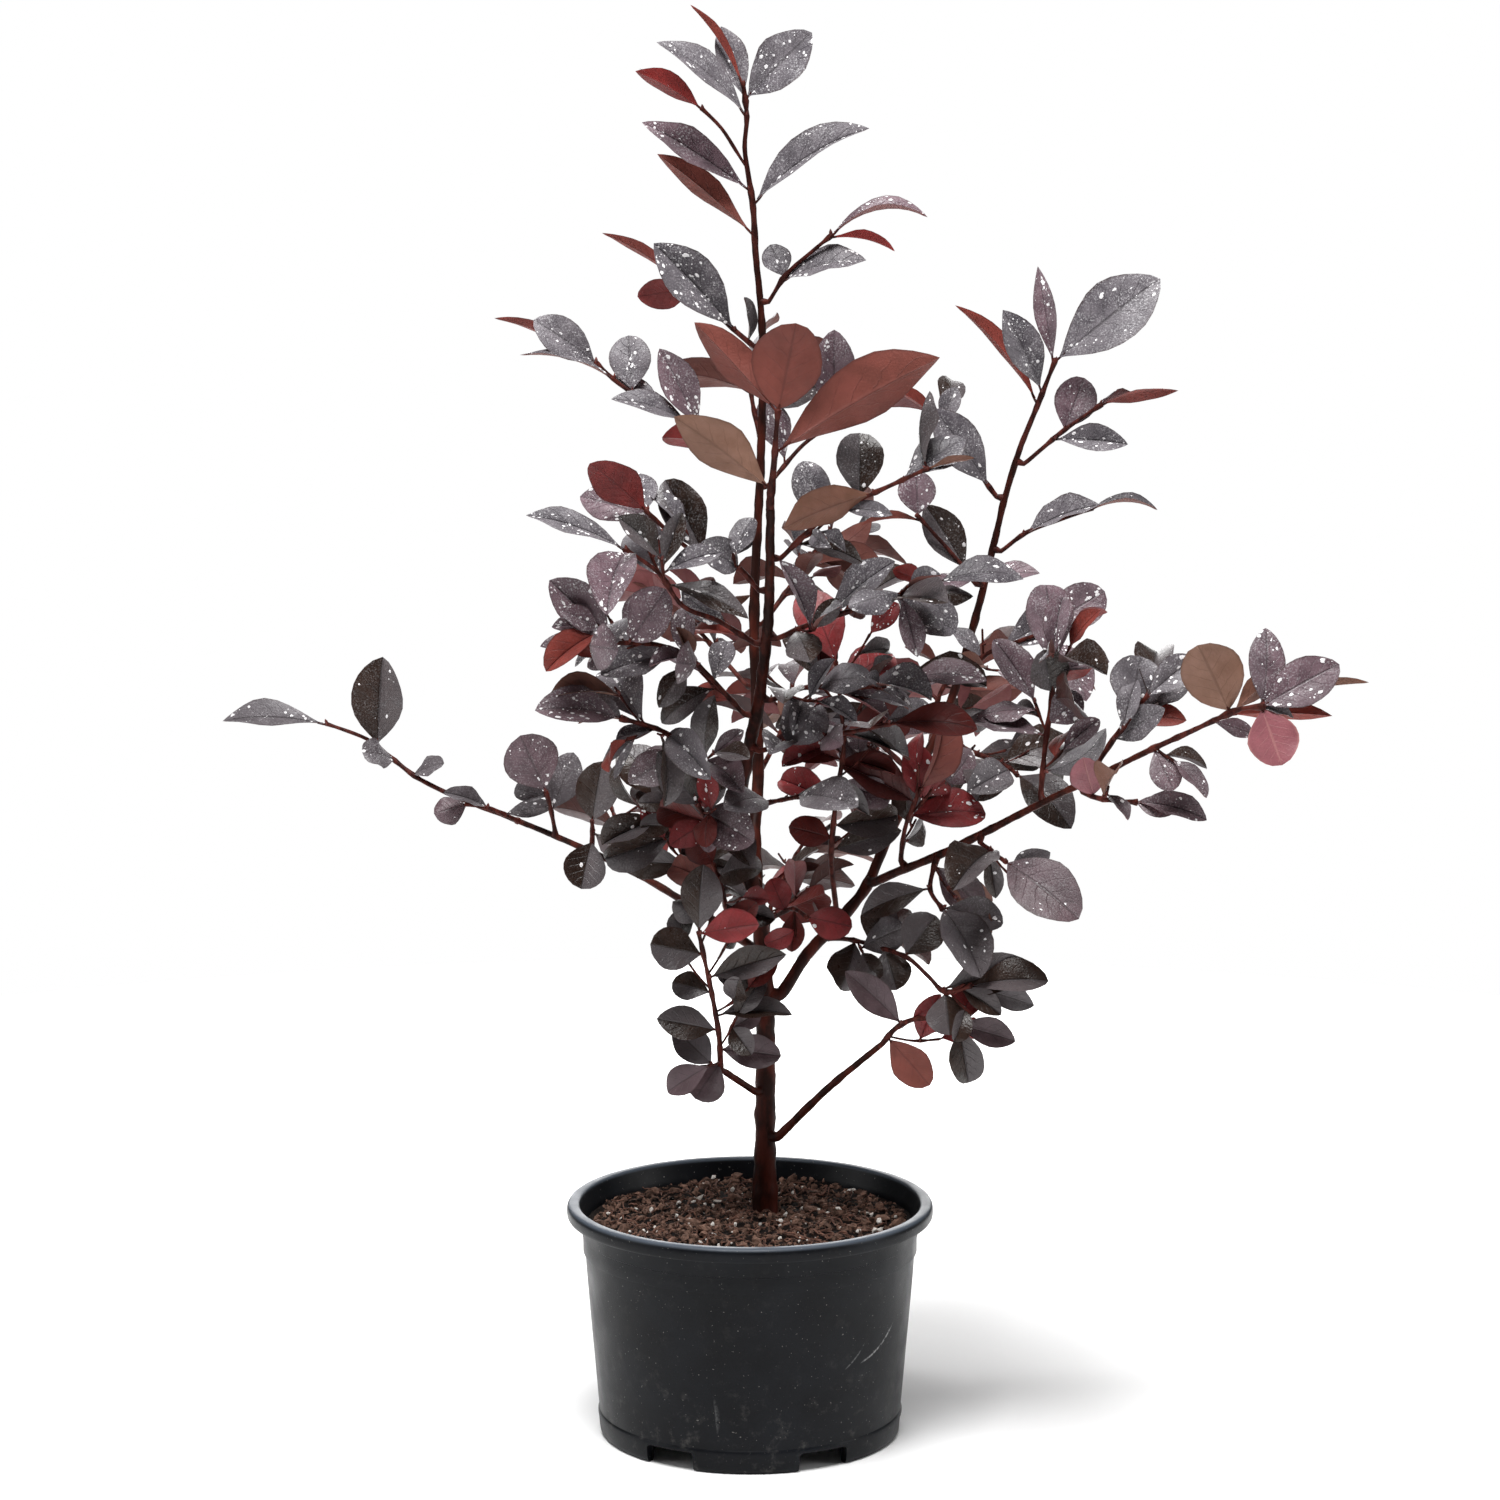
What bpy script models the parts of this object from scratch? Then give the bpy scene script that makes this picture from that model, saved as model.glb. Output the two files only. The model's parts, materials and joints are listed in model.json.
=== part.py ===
# Chinese fringe flower, a purple-leaved shrub, growing in a black nursery pot.
# Lengths in the tables are millimetres and angles are degrees. A heading of 0 points to +X
# and of 90 to +Y, which is the back of the plant. A rise of 90 points straight up.
import math
import random
from collections import namedtuple

import bmesh
import bpy
from mathutils import Matrix, Vector
from mathutils.bvhtree import BVHTree

MM = 0.001
GAP = 0.3

# The pot is a squat round nursery pot with a rolled lip and six feet.
POT_HEIGHT = 109.0
LIP_RADIUS = 85.0
LIP_DEPTH = 7.0
COLLAR_RADIUS = 78.0
COLLAR_DEPTH = 15.5
BODY_TOP_RADIUS = 76.8
BODY_FOOT_RADIUS = 70.4
FOOT_BAND = 10.5
FOOT_RING = 4.6
WALL = 1.5
FLOOR = 2.4
POT_STEPS = 36
POT_TURN = -1.5
FEET = 6
NOTCH_ANGLE = 20.0
NOTCH_HEIGHT = 9.0

# The peat stands a little below the lip and is mounded towards the trunk.
SOIL_TOP = 101.0
SOIL_EDGE = 99.0
SOIL_ROUGHNESS = 0.9
FOOT_X = 7.0
FOOT_Y = 12.0
FLAT_AROUND_TRUNK = 15.0

# Leaf blades are flat on top with a keel below.
LEAF_STATIONS = ((0.24, 0.76), (0.52, 1.0), (0.82, 0.74))
PETIOLE_SHARE = 0.10
PETIOLE_RADIUS = 0.42
KEEL_SHARE = 0.021
KEEL_LEAST = 0.7
ROOT_SIDES = 3
TWIG_TIP_RADIUS = 0.85
TWIG_STEP = 15.0
LIMB_STEP = 14.0

# Leaves stand off their twigs at these angles, and turn or shrink a little at each try.
SPREAD = 50.0
SPREAD_UPRIGHT = 24.0
DROOP = (20, 52)
TWISTED = 0.12
LEAF_SEED = 700
CLEARANCE = 0.38
LEAF_TRIES = 9
LEAF_TURN = 9.0
LEAF_SHRINK = 0.03
AIM_TRIES = 8
AIM_STRAY = 0.045
AIM_SHRINK = 0.025
AIM_SEED = 300
FREE_FOOT = 0.22
FREE_BLADE = 0.8
SET_BACK = 1.2
ROLL_STRAY = 14
TWIST_ROLL = 80
SPIN_STRAY = 22

# Limbs taper from a flared foot, and every shoot leaves its parent through a short collar.
LIMB_TAPER = 0.85
LIMB_COLLAR = 0.9
ROOT_FLARE = (1.8, 0.7, 0.2)
FLARE_RISE = (3.0, 7.0)
STEM_BEND = 2.5
STEM_COLLAR = 1.6
STEM_COLLAR_LEAST = 2.2
SIDE_FOOT = 0.45
SIDE_BARE = 0.45
STEM_TRIES = 16

Limb = namedtuple("Limb", "name parent at start legs foot tip sides colour")
Shoot = namedtuple("Shoot", "name limb at legs leaves leaf wide turn face bare tone seed tip side",
                   defaults=(9, ()))
Aim = namedtuple("Aim", "at reach wide droop look twig", defaults=(0,))

# Every limb is a run of legs, each with its heading, rise and length.
LIMBS = (
    Limb("trunk", None, 0.0, (FOOT_X, FOOT_Y, SOIL_TOP + GAP),
         ((0, 90, 37), (-90, 88, 61), (180, 86, 46), (-133, 69, 29), (-100, 66, 25), (-72, 64, 29),
          (-72, 58, 30), (-80, 59, 45), (-87, 59, 33), (-90, 57, 31)),
         5.1, 1.9, 8, "bark"),
    Limb("bough_rear", "trunk", 0.422, None,
         ((93, 57, 33), (81, 63, 27), (99, 81, 75), (53, 86, 71), (-81, 84, 56), (-117, 80, 40)),
         3.3, 1.5, 8, "bark"),
    Limb("bough_right", "trunk", 0.280, None,
         ((6, 56, 18), (8, 57, 13), (13, 44, 19), (21, 47, 20), (36, 60, 28), (35, 57, 23),
          (29, 62, 22), (24, 64, 28), (21, 73, 47), (-10, 77, 48), (-36, 71, 24)),
         3.1, 1.4, 8, "bark"),
    Limb("bough_far_right", "bough_right", 0.245, None,
         ((-49, 24, 22), (-49, 23, 36), (-45, 27, 67), (-50, 25, 33), (-42, 27, 31)),
         2.2, 1.3, 7, "bark"),
    Limb("bough_left", "trunk", 0.342, None,
         ((140, 22, 37), (141, 19, 47), (145, 15, 54), (153, 15, 49)),
         2.1, 1.3, 7, "bark"),
    Limb("bough_low_right", "trunk", 0.098, None,
         ((-39, 43, 48), (-44, 38, 40)),
         2.2, 1.4, 7, "bark"),
    Limb("bough_low_left", "trunk", 0.158, None,
         ((-129, 31, 34),),
         1.9, 1.4, 7, "bark"),
)

# Every shoot carries one mass of leaves. It is named for its place in the crown.
# at: how far along its limb it stands. turn: the angle of its first leaf around the twig.
# face: where the blades look, as a heading and a strength against straight up.
# bare: the share of the twig below the first leaf. tip: how far its last leaf leans off the twig.
# side: at, legs and leaves of each side twig.
FRONT = (-90, 1.0)
FRONT_FLAT = (-90, 0.5)
FRONT_STEEP = (-90, 1.8)
BACK = (90, 0.8)
UNDER = (90, 1.6)
SHOOTS = (
    Shoot("leaves_front_top", "trunk", 1.0, ((-83, 54, 24), (-81, 68, 14), (-80, 66, 9)),
          0, 70, 0.50, 0, UNDER, 0.0, "under", 61, 46),
    Shoot("leaves_top", "bough_rear", 1.0, ((-104, 78, 20), (-153, 81, 28), (-63, 81, 14), (-117, 76, 16)),
          0, 50, 0.48, 180, FRONT, 0.0, "slate", 5, 30,
          ((0.50, ((-145, 52, 24), (-156, 42, 13)), 0),)),
    Shoot("leaves_upper_right", "bough_rear", 0.93, ((-32, 53, 16), (-13, 40, 28)),
          0, 45, 0.44, 20, FRONT, 0.3, "slate", 52),
    Shoot("leaves_upper_left", "bough_rear", 0.86, ((176, 40, 20), (172, 42, 22)),
          0, 54, 0.42, 10, FRONT, 0.3, "slate", 3),
    Shoot("leaves_rear_left", "bough_rear", 0.67, ((-174, 36, 34), (174, 28, 36), (175, 41, 18)),
          0, 48, 0.46, 0, FRONT_FLAT, 0.25, "slate", 4),
    Shoot("leaves_rear_right", "bough_rear", 0.64, ((35, 42, 28), (20, 31, 24)),
          2, 46, 0.48, 10, FRONT_FLAT, 0.3, "mauve", 5),
    Shoot("leaves_right_top", "bough_right", 1.0, ((-32, 66, 23), (-36, 66, 21)),
          0, 56, 0.46, 170, FRONT, 0.35, "slate", 6),
    Shoot("leaves_right_sprig", "bough_right", 0.98, ((-18, 40, 25), (-14, 35, 21)),
          0, 40, 0.46, 0, FRONT_FLAT, 0.35, "mauve", 7),
    Shoot("leaves_right_upper", "bough_right", 0.915, ((170, 53, 20), (170, 52, 25)),
          1, 40, 0.42, 0, FRONT, 0.55, "dark", 8, 60),
    Shoot("leaves_right_outer", "bough_right", 0.83, ((-15, 37, 15), (-12, 21, 33)),
          0, 48, 0.42, 0, FRONT_FLAT, 0.4, "slate", 9),
    Shoot("leaves_right_inner", "bough_right", 0.77, ((-145, 45, 20), (-150, 44, 28)),
          0, 46, 0.46, 0, FRONT, 0.3, "mauve", 10),
    Shoot("leaves_right_mid", "bough_right", 0.62, ((-45, 38, 18), (-24, 22, 32)),
          1, 48, 0.50, 180, FRONT, 0.2, "mauve", 11, 70),
    Shoot("leaves_far_tip", "bough_far_right", 1.0, ((-45, 25, 26), (-35, 26, 24), (-20, 8, 10)),
          1, 44, 0.50, 0, FRONT, 0.3, "mauve", 12, 60),
    Shoot("leaves_far_up", "bough_far_right", 0.64, ((45, 83, 22), (53, 77, 23), (76, 71, 13)),
          4, 42, 0.56, 0, FRONT, 0.2, "mauve", 13),
    Shoot("leaves_far_rise", "bough_far_right", 0.84, ((-35, 56, 22), (-20, 52, 19)),
          1, 44, 0.52, 90, FRONT, 0.3, "slate", 14, 60),
    Shoot("leaves_far_low", "bough_far_right", 0.78, ((-55, -5, 14), (-30, 0, 16)),
          2, 40, 0.46, 40, FRONT_FLAT, 0.5, "mauve", 15),
    Shoot("leaves_far_hang", "bough_far_right", 0.42, ((-68, -11, 11), (-63, -12, 14)),
          2, 42, 0.62, 60, FRONT_STEEP, 0.5, "mauve", 16),
    Shoot("leaves_far_under", "bough_far_right", 0.26, ((-102, -38, 16), (-70, -23, 16)),
          2, 40, 0.56, 90, FRONT_STEEP, 0.5, "slate", 17),
    Shoot("leaves_far_inner", "bough_far_right", 0.14, ((-81, 57, 23), (-53, 60, 20)),
          5, 38, 0.60, 0, FRONT_STEEP, 0.3, "red", 18),
    Shoot("leaves_inner_right", "bough_right", 0.17,
          ((-99, 58, 38), (-78, 67, 37), (-76, 69, 23), (-124, 79, 36)),
          8, 35, 0.62, 0, FRONT_STEEP, 0.40, "red", 19),
    Shoot("leaves_front_right_high", "trunk", 0.924, ((-34, 40, 30), (-23, 26, 23), (-13, 25, 28)),
          1, 44, 0.44, 0, FRONT_FLAT, 0.2, "slate", 20, 70),
    Shoot("leaves_front_right_mid", "trunk", 0.806, ((-25, 24, 21), (-19, 18, 29), (-11, 20, 28)),
          4, 44, 0.46, 90, FRONT, 0.15, "slate", 21),
    Shoot("leaves_front_right_level", "trunk", 0.712, ((-30, 22, 18), (-17, 3, 27), (-9, 9, 20)),
          4, 42, 0.50, 90, FRONT, 0.2, "slate", 47),
    Shoot("leaves_front_right_low", "trunk", 0.636, ((-43, 16, 26), (-32, 13, 27), (-30, 14, 20)),
          6, 42, 0.50, 90, FRONT, 0.25, "dark", 22),
    Shoot("leaves_front_right_small", "trunk", 0.550, ((-58, 15, 23), (-55, 14, 20)),
          3, 44, 0.50, 90, FRONT, 0.5, "slate", 23),
    Shoot("leaves_mid_right_up", "bough_right", 0.435, ((-137, 39, 21), (-135, 28, 19), (-135, 16, 15)),
          6, 40, 0.54, 90, FRONT, 0.25, "mauve", 24),
    Shoot("leaves_mid_right_out", "bough_right", 0.51, ((-45, -14, 16), (-41, -13, 22), (-63, -15, 12)),
          6, 40, 0.56, 90, FRONT, 0.3, "dark", 25),
    Shoot("leaves_low_right", "bough_low_right", 1.0, ((-49, 44, 13), (-39, 25, 14), (-34, 0, 18)),
          0, 37, 0.62, 0, FRONT_STEEP, 0.0, "red", 26),
    Shoot("leaves_low_right_up", "bough_right", 0.13,
          ((-60, 8, 23), (-50, -4, 37), (-51, -24, 28), (-23, 18, 13)),
          2, 34, 0.64, 90, FRONT_STEEP, 0.25, "dark", 27),
    Shoot("leaves_fork_right", "trunk", 0.379, ((-56, 23, 23), (-55, -14, 11)),
          0, 32, 0.66, 90, FRONT_STEEP, 0.5, "red", 28),
    Shoot("leaves_low_left", "bough_low_left", 1.0, ((-94, 57, 24), (-117, 71, 20), (-127, 72, 32)),
          1, 30, 0.68, 0, FRONT_STEEP, 0.9, "dark", 29),
    Shoot("leaves_left_tip", "bough_left", 1.0, ((155, 21, 25), (158, 33, 31), (166, 18, 22)),
          0, 49, 0.48, 0, FRONT, 0.2, "dark", 30, 4),
    Shoot("leaves_left_mid", "bough_left", 0.70, ((-108, 64, 14), (-117, 61, 9)),
          0, 38, 0.66, 0, FRONT_STEEP, 0.5, "mauve", 31),
    Shoot("leaves_left_fork", "bough_left", 0.82, ((-151, 26, 14), (-162, 13, 13)),
          0, 38, 0.52, 90, FRONT, 0.4, "mauve", 32),
    Shoot("leaves_left_inner", "bough_left", 0.575, ((-85, 60, 9), (-90, 55, 7)),
          0, 40, 0.60, 0, FRONT_STEEP, 0.4, "dark", 33),
    Shoot("leaves_left_rise", "bough_left", 0.20, ((-112, 57, 30), (-135, 59, 14), (-153, 74, 17)),
          6, 34, 0.62, 0, FRONT_STEEP, 0.3, "dark", 34),
    Shoot("leaves_left_near", "bough_left", 0.09, ((-99, 48, 27), (-112, 52, 18)),
          4, 32, 0.66, 0, FRONT_STEEP, 0.4, "red", 35),
    Shoot("leaves_left_red", "trunk", 0.507, ((-115, 21, 22), (-120, 41, 18)),
          5, 34, 0.62, 90, FRONT_STEEP, 0.3, "red", 36),
    Shoot("leaves_front_left_low", "trunk", 0.593, ((-132, 25, 33), (-133, 34, 20), (-151, 19, 22)),
          6, 42, 0.52, 90, FRONT, 0.15, "slate", 37),
    Shoot("leaves_front_left_mid", "trunk", 0.684, ((-143, 42, 42), (-150, 18, 25), (-156, 0, 24)),
          4, 42, 0.50, 90, FRONT, 0.12, "mauve", 38, 60),
    Shoot("leaves_front_left_high", "trunk", 0.796,
          ((-151, 31, 21), (-148, 23, 20), (-135, 47, 21), (-150, 34, 20)),
          4, 44, 0.50, 90, FRONT, 0.12, "slate", 39, 60),
    Shoot("leaves_front_left_crest", "trunk", 0.875, ((-149, 45, 14), (-153, 20, 23), (-164, 41, 29)),
          1, 44, 0.56, 90, FRONT, 0.15, "slate", 48, 60),
    Shoot("leaves_back_low", "trunk", 0.320, ((84, 34, 42), (70, 24, 50)),
          6, 37, 0.60, 90, BACK, 0.35, "dark", 40),
    Shoot("leaves_back_mid", "bough_rear", 0.201, ((70, 28, 38), (84, 24, 30)),
          7, 42, 0.54, 90, BACK, 0.3, "mauve", 41),
    Shoot("leaves_back_left", "bough_rear", 0.327, ((132, 34, 38), (118, 26, 38)),
          6, 44, 0.50, 90, BACK, 0.3, "slate", 42),
    Shoot("leaves_back_right", "bough_rear", 0.423, ((50, 38, 38), (62, 30, 34)),
          6, 45, 0.50, 90, BACK, 0.3, "slate", 43),
    Shoot("leaves_back_high", "bough_rear", 0.718, ((100, 40, 30), (84, 34, 26)),
          4, 48, 0.46, 90, BACK, 0.3, "slate", 44),
    Shoot("leaves_back_bough", "bough_right", 0.50, ((80, 30, 35), (66, 24, 32)),
          5, 42, 0.54, 90, BACK, 0.3, "mauve", 45),
    Shoot("leaves_back_outer", "bough_left", 0.53, ((84, 26, 22), (100, 20, 20)),
          4, 38, 0.58, 90, BACK, 0.3, "dark", 46),
)

# Leaves that show one by one at the edge of the crown.
# at: share of the twig below the joint. reach: from joint to tip, to the right, back and up.
# look: heading and rise of the upper side. twig: 0 for the stem, 1 for the first side twig.
FACING = (-90, 25)
TILTED = (-90, 50)
LEVEL = (-90, 72)
TURNED = (90, 25)
BELLY = (90, 52)
AIMS = {
    "leaves_front_top": (
        Aim(0.97, (8, -6, 38), 0.80, 15, TURNED), Aim(1.0, (-37, 6, 36), 0.38, 25, TURNED),
        Aim(0.6, (70, -4, 40), 0.40, 20, TURNED), Aim(0.2, (-41, -4, 32), 0.48, 12, TURNED)),
    "leaves_top": (
        Aim(0.9, (31, -6, 29), 0.58, 15, FACING), Aim(0.8, (-41, -8, 34), 0.36, 38, TILTED),
        Aim(1.0, (-24, 3, 36), 0.18, 24, (40, 33)), Aim(0.9, (-11, 14, 33), 0.44, 15, FACING),
        Aim(1.0, (-31, -2, 17), 0.40, 30, (90, 40), 1), Aim(0.3, (54, -5, 34), 0.38, 42, TILTED),
        Aim(0.38, (-51, 15, 31), 0.30, 25, FACING), Aim(0.12, (-48, -7, 43), 0.26, 20, TURNED)),
    "leaves_upper_right": (
        Aim(0.3, (39, -7, 10), 0.48, 40, TILTED), Aim(1.0, (46, 3, 8), 0.28, 75, LEVEL),
        Aim(0.96, (30, -8, -6), 0.28, 45, BELLY), Aim(0.35, (-6, 6, 15), 0.80, 30, FACING)),
    "leaves_upper_left": (
        Aim(0.3, (-38, -10, 40), 0.50, 20, FACING), Aim(1.0, (-40, 2, 25), 0.20, 30, BELLY),
        Aim(0.93, (-25, 8, -3), 0.64, 20, TURNED), Aim(0.12, (-3, -9, 22), 0.55, 30, TILTED)),
    "leaves_rear_left": (
        Aim(0.98, (-30, -4, 20), 0.56, 30, FACING), Aim(1.0, (-48, 6, 21), 0.18, 30, BELLY),
        Aim(0.86, (-44, -14, 12), 0.26, 40, LEVEL), Aim(0.75, (-2, 9, 26), 0.76, 15, FACING),
        Aim(0.55, (-29, 16, 16), 0.34, 30, TILTED), Aim(0.42, (-36, -8, 11), 0.44, 35, TILTED),
        Aim(0.35, (-18, 4, 38), 0.46, 15, FACING), Aim(0.18, (-34, -12, 12), 0.58, 30, TURNED)),
    "leaves_rear_right": (
        Aim(0.88, (1, 5, 44), 0.52, 20, FACING), Aim(1.0, (42, 5, 27), 0.40, 30, TILTED)),
    "leaves_right_top": (
        Aim(1.0, (48, -5, 37), 0.52, 15, FACING), Aim(0.93, (-8, 4, 45), 0.24, 30, FACING),
        Aim(0.5, (-38, 7, 46), 0.20, 36, BELLY), Aim(0.62, (-18, -6, 39), 0.48, 20, FACING)),
    "leaves_right_sprig": (
        Aim(0.55, (10, 5, 24), 0.78, 15, FACING), Aim(1.0, (36, -4, 7), 0.28, 40, BELLY),
        Aim(0.42, (34, -7, -1), 0.46, 20, FACING), Aim(0.95, (22, 6, 11), 0.50, 40, TILTED)),
    "leaves_right_upper": (
        Aim(0.15, (-27, -7, 37), 0.48, 18, FACING), Aim(1.0, (-23, -3, 16), 0.32, 30, BELLY),
        Aim(0.93, (6, 5, 17), 0.60, 20, FACING)),
    "leaves_right_outer": (
        Aim(0.3, (35, -8, 15), 0.46, 28, TILTED), Aim(1.0, (32, 3, -1), 0.26, 55, LEVEL)),
    "leaves_right_inner": (
        Aim(0.2, (-25, -8, 31), 0.54, 18, FACING), Aim(1.0, (-1, 2, 21), 0.88, 15, FACING),
        Aim(0.92, (-28, 5, -3), 0.28, 42, BELLY), Aim(0.05, (29, -12, 5), 0.42, 40, TILTED),
        Aim(0.08, (-20, -15, -1), 0.46, 35, TILTED)),
    "leaves_right_mid": (
        Aim(0.5, (35, -4, 20), 0.50, 15, FACING), Aim(0.92, (30, 8, 19), 0.62, 20, FACING),
        Aim(1.0, (23, -3, -27), 0.20, 20, (20, 40)), Aim(0.3, (-14, 5, 14), 0.50, 35, TILTED)),
    "leaves_far_tip": (
        Aim(1.0, (33, 5, 18), 0.58, 15, FACING), Aim(1.0, (47, 11, 8), 0.18, 30, BELLY),
        Aim(0.72, (50, -16, 14), 0.26, 30, (90, 40)), Aim(0.75, (-15, -7, 30), 0.82, 15, TURNED),
        Aim(1.0, (8, -7, -24), 0.88, 10, TURNED), Aim(0.77, (21, 2, 18), 0.46, 15, TURNED),
        Aim(0.94, (17, 4, -5), 0.44, 30, TILTED), Aim(0.6, (19, 6, -7), 0.44, 20, FACING),
        Aim(0.05, (8, -9, -17), 0.70, 20, FACING)),
    "leaves_far_up": (
        Aim(0.78, (-5, -5, 20), 0.95, 15, FACING), Aim(0.9, (18, 5, 5), 0.72, 20, TURNED),
        Aim(0.55, (14, -7, 14), 0.76, 20, FACING)),
    "leaves_far_rise": (
        Aim(0.7, (6, 6, 26), 0.95, 15, FACING), Aim(1.0, (21, 4, 17), 0.62, 15, FACING),
        Aim(0.4, (23, -9, 21), 0.54, 18, FACING)),
    "leaves_far_low": (
        Aim(0.3, (-8, -8, 20), 0.85, 15, FACING), Aim(1.0, (17, -5, -4), 0.60, 25, FACING)),
    "leaves_far_hang": (
        Aim(0.4, (4, 3, -23), 0.46, 20, FACING),),
    "leaves_far_under": (
        Aim(0.1, (22, -12, -18), 0.60, 20, FACING), Aim(1.0, (28, 2, -7), 0.62, 20, FACING)),
    "leaves_inner_right": (
        Aim(0.35, (-20, -4, 6), 0.72, 15, FACING), Aim(0.3, (32, -5, 10), 0.50, 15, FACING)),
    "leaves_front_right_high": (
        Aim(0.85, (27, 9, 17), 0.58, 20, TILTED), Aim(1.0, (25, -4, 2), 0.30, 25, BELLY),
        Aim(0.6, (0, 9, 28), 0.76, 30, FACING), Aim(0.48, (25, -9, 0), 0.38, 40, TILTED),
        Aim(0.7, (-40, -11, -15), 0.48, 25, TURNED), Aim(0.35, (-8, 9, 25), 0.66, 20, FACING),
        Aim(0.15, (29, 5, -10), 0.46, 45, TILTED)),
    "leaves_front_right_mid": (
        Aim(0.75, (27, -6, -14), 0.72, 28, FACING), Aim(0.35, (30, -6, 25), 0.50, 30, TILTED),
        Aim(0.95, (-16, -8, 8), 0.52, 20, TURNED)),
    "leaves_front_right_level": (
        Aim(0.38, (26, -6, 5), 0.72, 40, TILTED), Aim(1.0, (37, -4, 1), 0.44, 50, TILTED),
        Aim(0.15, (15, -12, -19), 0.86, 18, FACING)),
    "leaves_low_right_up": (
        Aim(0.35, (8, 5, 19), 0.85, 12, FACING), Aim(0.58, (14, 6, 18), 0.90, 12, FACING),
        Aim(0.45, (5, -10, -17), 0.95, 12, FACING), Aim(0.85, (41, -4, 12), 0.48, 15, FACING),
        Aim(1.0, (30, 11, -11), 0.42, 15, FACING), Aim(0.87, (2, -8, -18), 1.0, 12, FACING),
        Aim(0.9, (37, 17, 6), 0.32, 15, FACING)),
    "leaves_low_right": (
        Aim(0.15, (19, -5, -21), 0.66, 12, TURNED), Aim(0.4, (-25, 4, 25), 0.48, 12, FACING),
        Aim(1.0, (29, 2, -9), 0.50, 15, FACING), Aim(0.9, (17, 7, -9), 0.66, 15, TURNED)),
    "leaves_low_left": (
        Aim(0.08, (-12, -6, -15), 1.0, 12, FACING), Aim(0.2, (28, -5, -2), 0.62, 15, FACING),
        Aim(0.45, (35, -4, 2), 0.44, 30, TILTED), Aim(0.7, (35, -4, 12), 0.48, 15, FACING),
        Aim(0.85, (-24, -5, 5), 0.82, 12, FACING), Aim(0.6, (-18, 5, 4), 0.74, 15, FACING),
        Aim(0.35, (-28, -4, 6), 0.58, 15, FACING), Aim(1.0, (27, -5, 6), 0.64, 15, FACING)),
    "leaves_fork_right": (
        Aim(1.0, (21, -3, -4), 0.76, 12, FACING), Aim(0.5, (-7, 2, 15), 0.86, 12, FACING),
        Aim(0.7, (-1, -6, -19), 0.64, 15, FACING)),
    "leaves_left_tip": (
        Aim(1.0, (-53, 3, 1), 0.38, 30, TILTED), Aim(0.64, (3, -4, 45), 0.64, 10, FACING),
        Aim(0.5, (-15, -11, 6), 0.95, 25, TILTED), Aim(0.35, (16, -9, 7), 0.70, 25, TILTED)),
    "leaves_left_fork": (
        Aim(1.0, (-16, -3, -4), 0.88, 15, FACING), Aim(0.6, (-21, -9, 9), 0.48, 30, TILTED),
        Aim(0.3, (28, -11, 9), 0.38, 35, TILTED)),
    "leaves_left_mid": (
        Aim(1.0, (-12, -3, 28), 0.92, 10, FACING), Aim(0.5, (11, 5, 28), 0.62, 12, FACING),
        Aim(0.85, (-16, 6, 3), 0.72, 20, FACING)),
    "leaves_left_inner": (
        Aim(1.0, (5, -4, 30), 0.74, 12, FACING), Aim(0.3, (-5, -7, -23), 0.95, 12, FACING),
        Aim(0.6, (24, -11, -20), 0.52, 15, FACING)),
    "leaves_front_left_low": (
        Aim(1.0, (-15, 3, 10), 0.52, 35, TILTED), Aim(0.96, (-24, -4, 0), 0.22, 45, LEVEL),
        Aim(0.75, (-18, -7, -4), 0.52, 30, TILTED)),
    "leaves_front_left_mid": (
        Aim(0.88, (-28, -4, 28), 0.58, 15, FACING), Aim(0.8, (17, -6, 24), 0.82, 15, FACING),
        Aim(1.0, (-23, -3, 0), 0.44, 42, TILTED), Aim(0.55, (-33, -9, -9), 0.52, 20, FACING)),
    "leaves_front_left_high": (
        Aim(1.0, (-44, 1, 15), 0.34, 34, TILTED), Aim(0.68, (36, -9, -14), 0.36, 40, TILTED)),
    "leaves_front_left_crest": (
        Aim(1.0, (-24, -9, 22), 0.64, 20, TURNED), Aim(0.9, (-34, 14, 9), 0.48, 28, FACING),
        Aim(0.24, (-17, -15, 12), 0.66, 20, FACING), Aim(0.5, (-17, 6, 33), 0.60, 25, FACING),
        Aim(0.3, (3, 9, 32), 0.74, 35, FACING)),
}

# Plain colours as linear red, green and blue, with the roughness of each finish.
TONES = {
    "plastic": ((0.024, 0.025, 0.026), 0.45),
    "peat": ((0.055, 0.026, 0.018), 0.95),
    "bark": ((0.020, 0.008, 0.006), 0.70),
    "slate": ((0.16, 0.14, 0.15), 0.50),
    "mauve": ((0.20, 0.11, 0.13), 0.50),
    "dark": ((0.045, 0.035, 0.032), 0.45),
    "red": ((0.22, 0.035, 0.045), 0.50),
    "under": ((0.20, 0.075, 0.060), 0.60),
}


def bearing(heading, rise):
    """Unit direction from a heading and a rise in degrees."""
    turn = math.radians(heading)
    lift = math.radians(rise)
    return Vector((math.cos(lift) * math.cos(turn), math.cos(lift) * math.sin(turn), math.sin(lift)))


def across(vector, axis):
    """Unit part of a vector that is square to an axis."""
    flat = vector - axis * vector.dot(axis)
    return flat.normalized() if flat.length > 1e-5 else axis.orthogonal().normalized()


def walk(start, legs):
    """Points at the ends of a run of legs."""
    points = [Vector(start)]
    for heading, rise, length in legs:
        points.append(points[-1] + bearing(heading, rise) * length)
    return points


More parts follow.
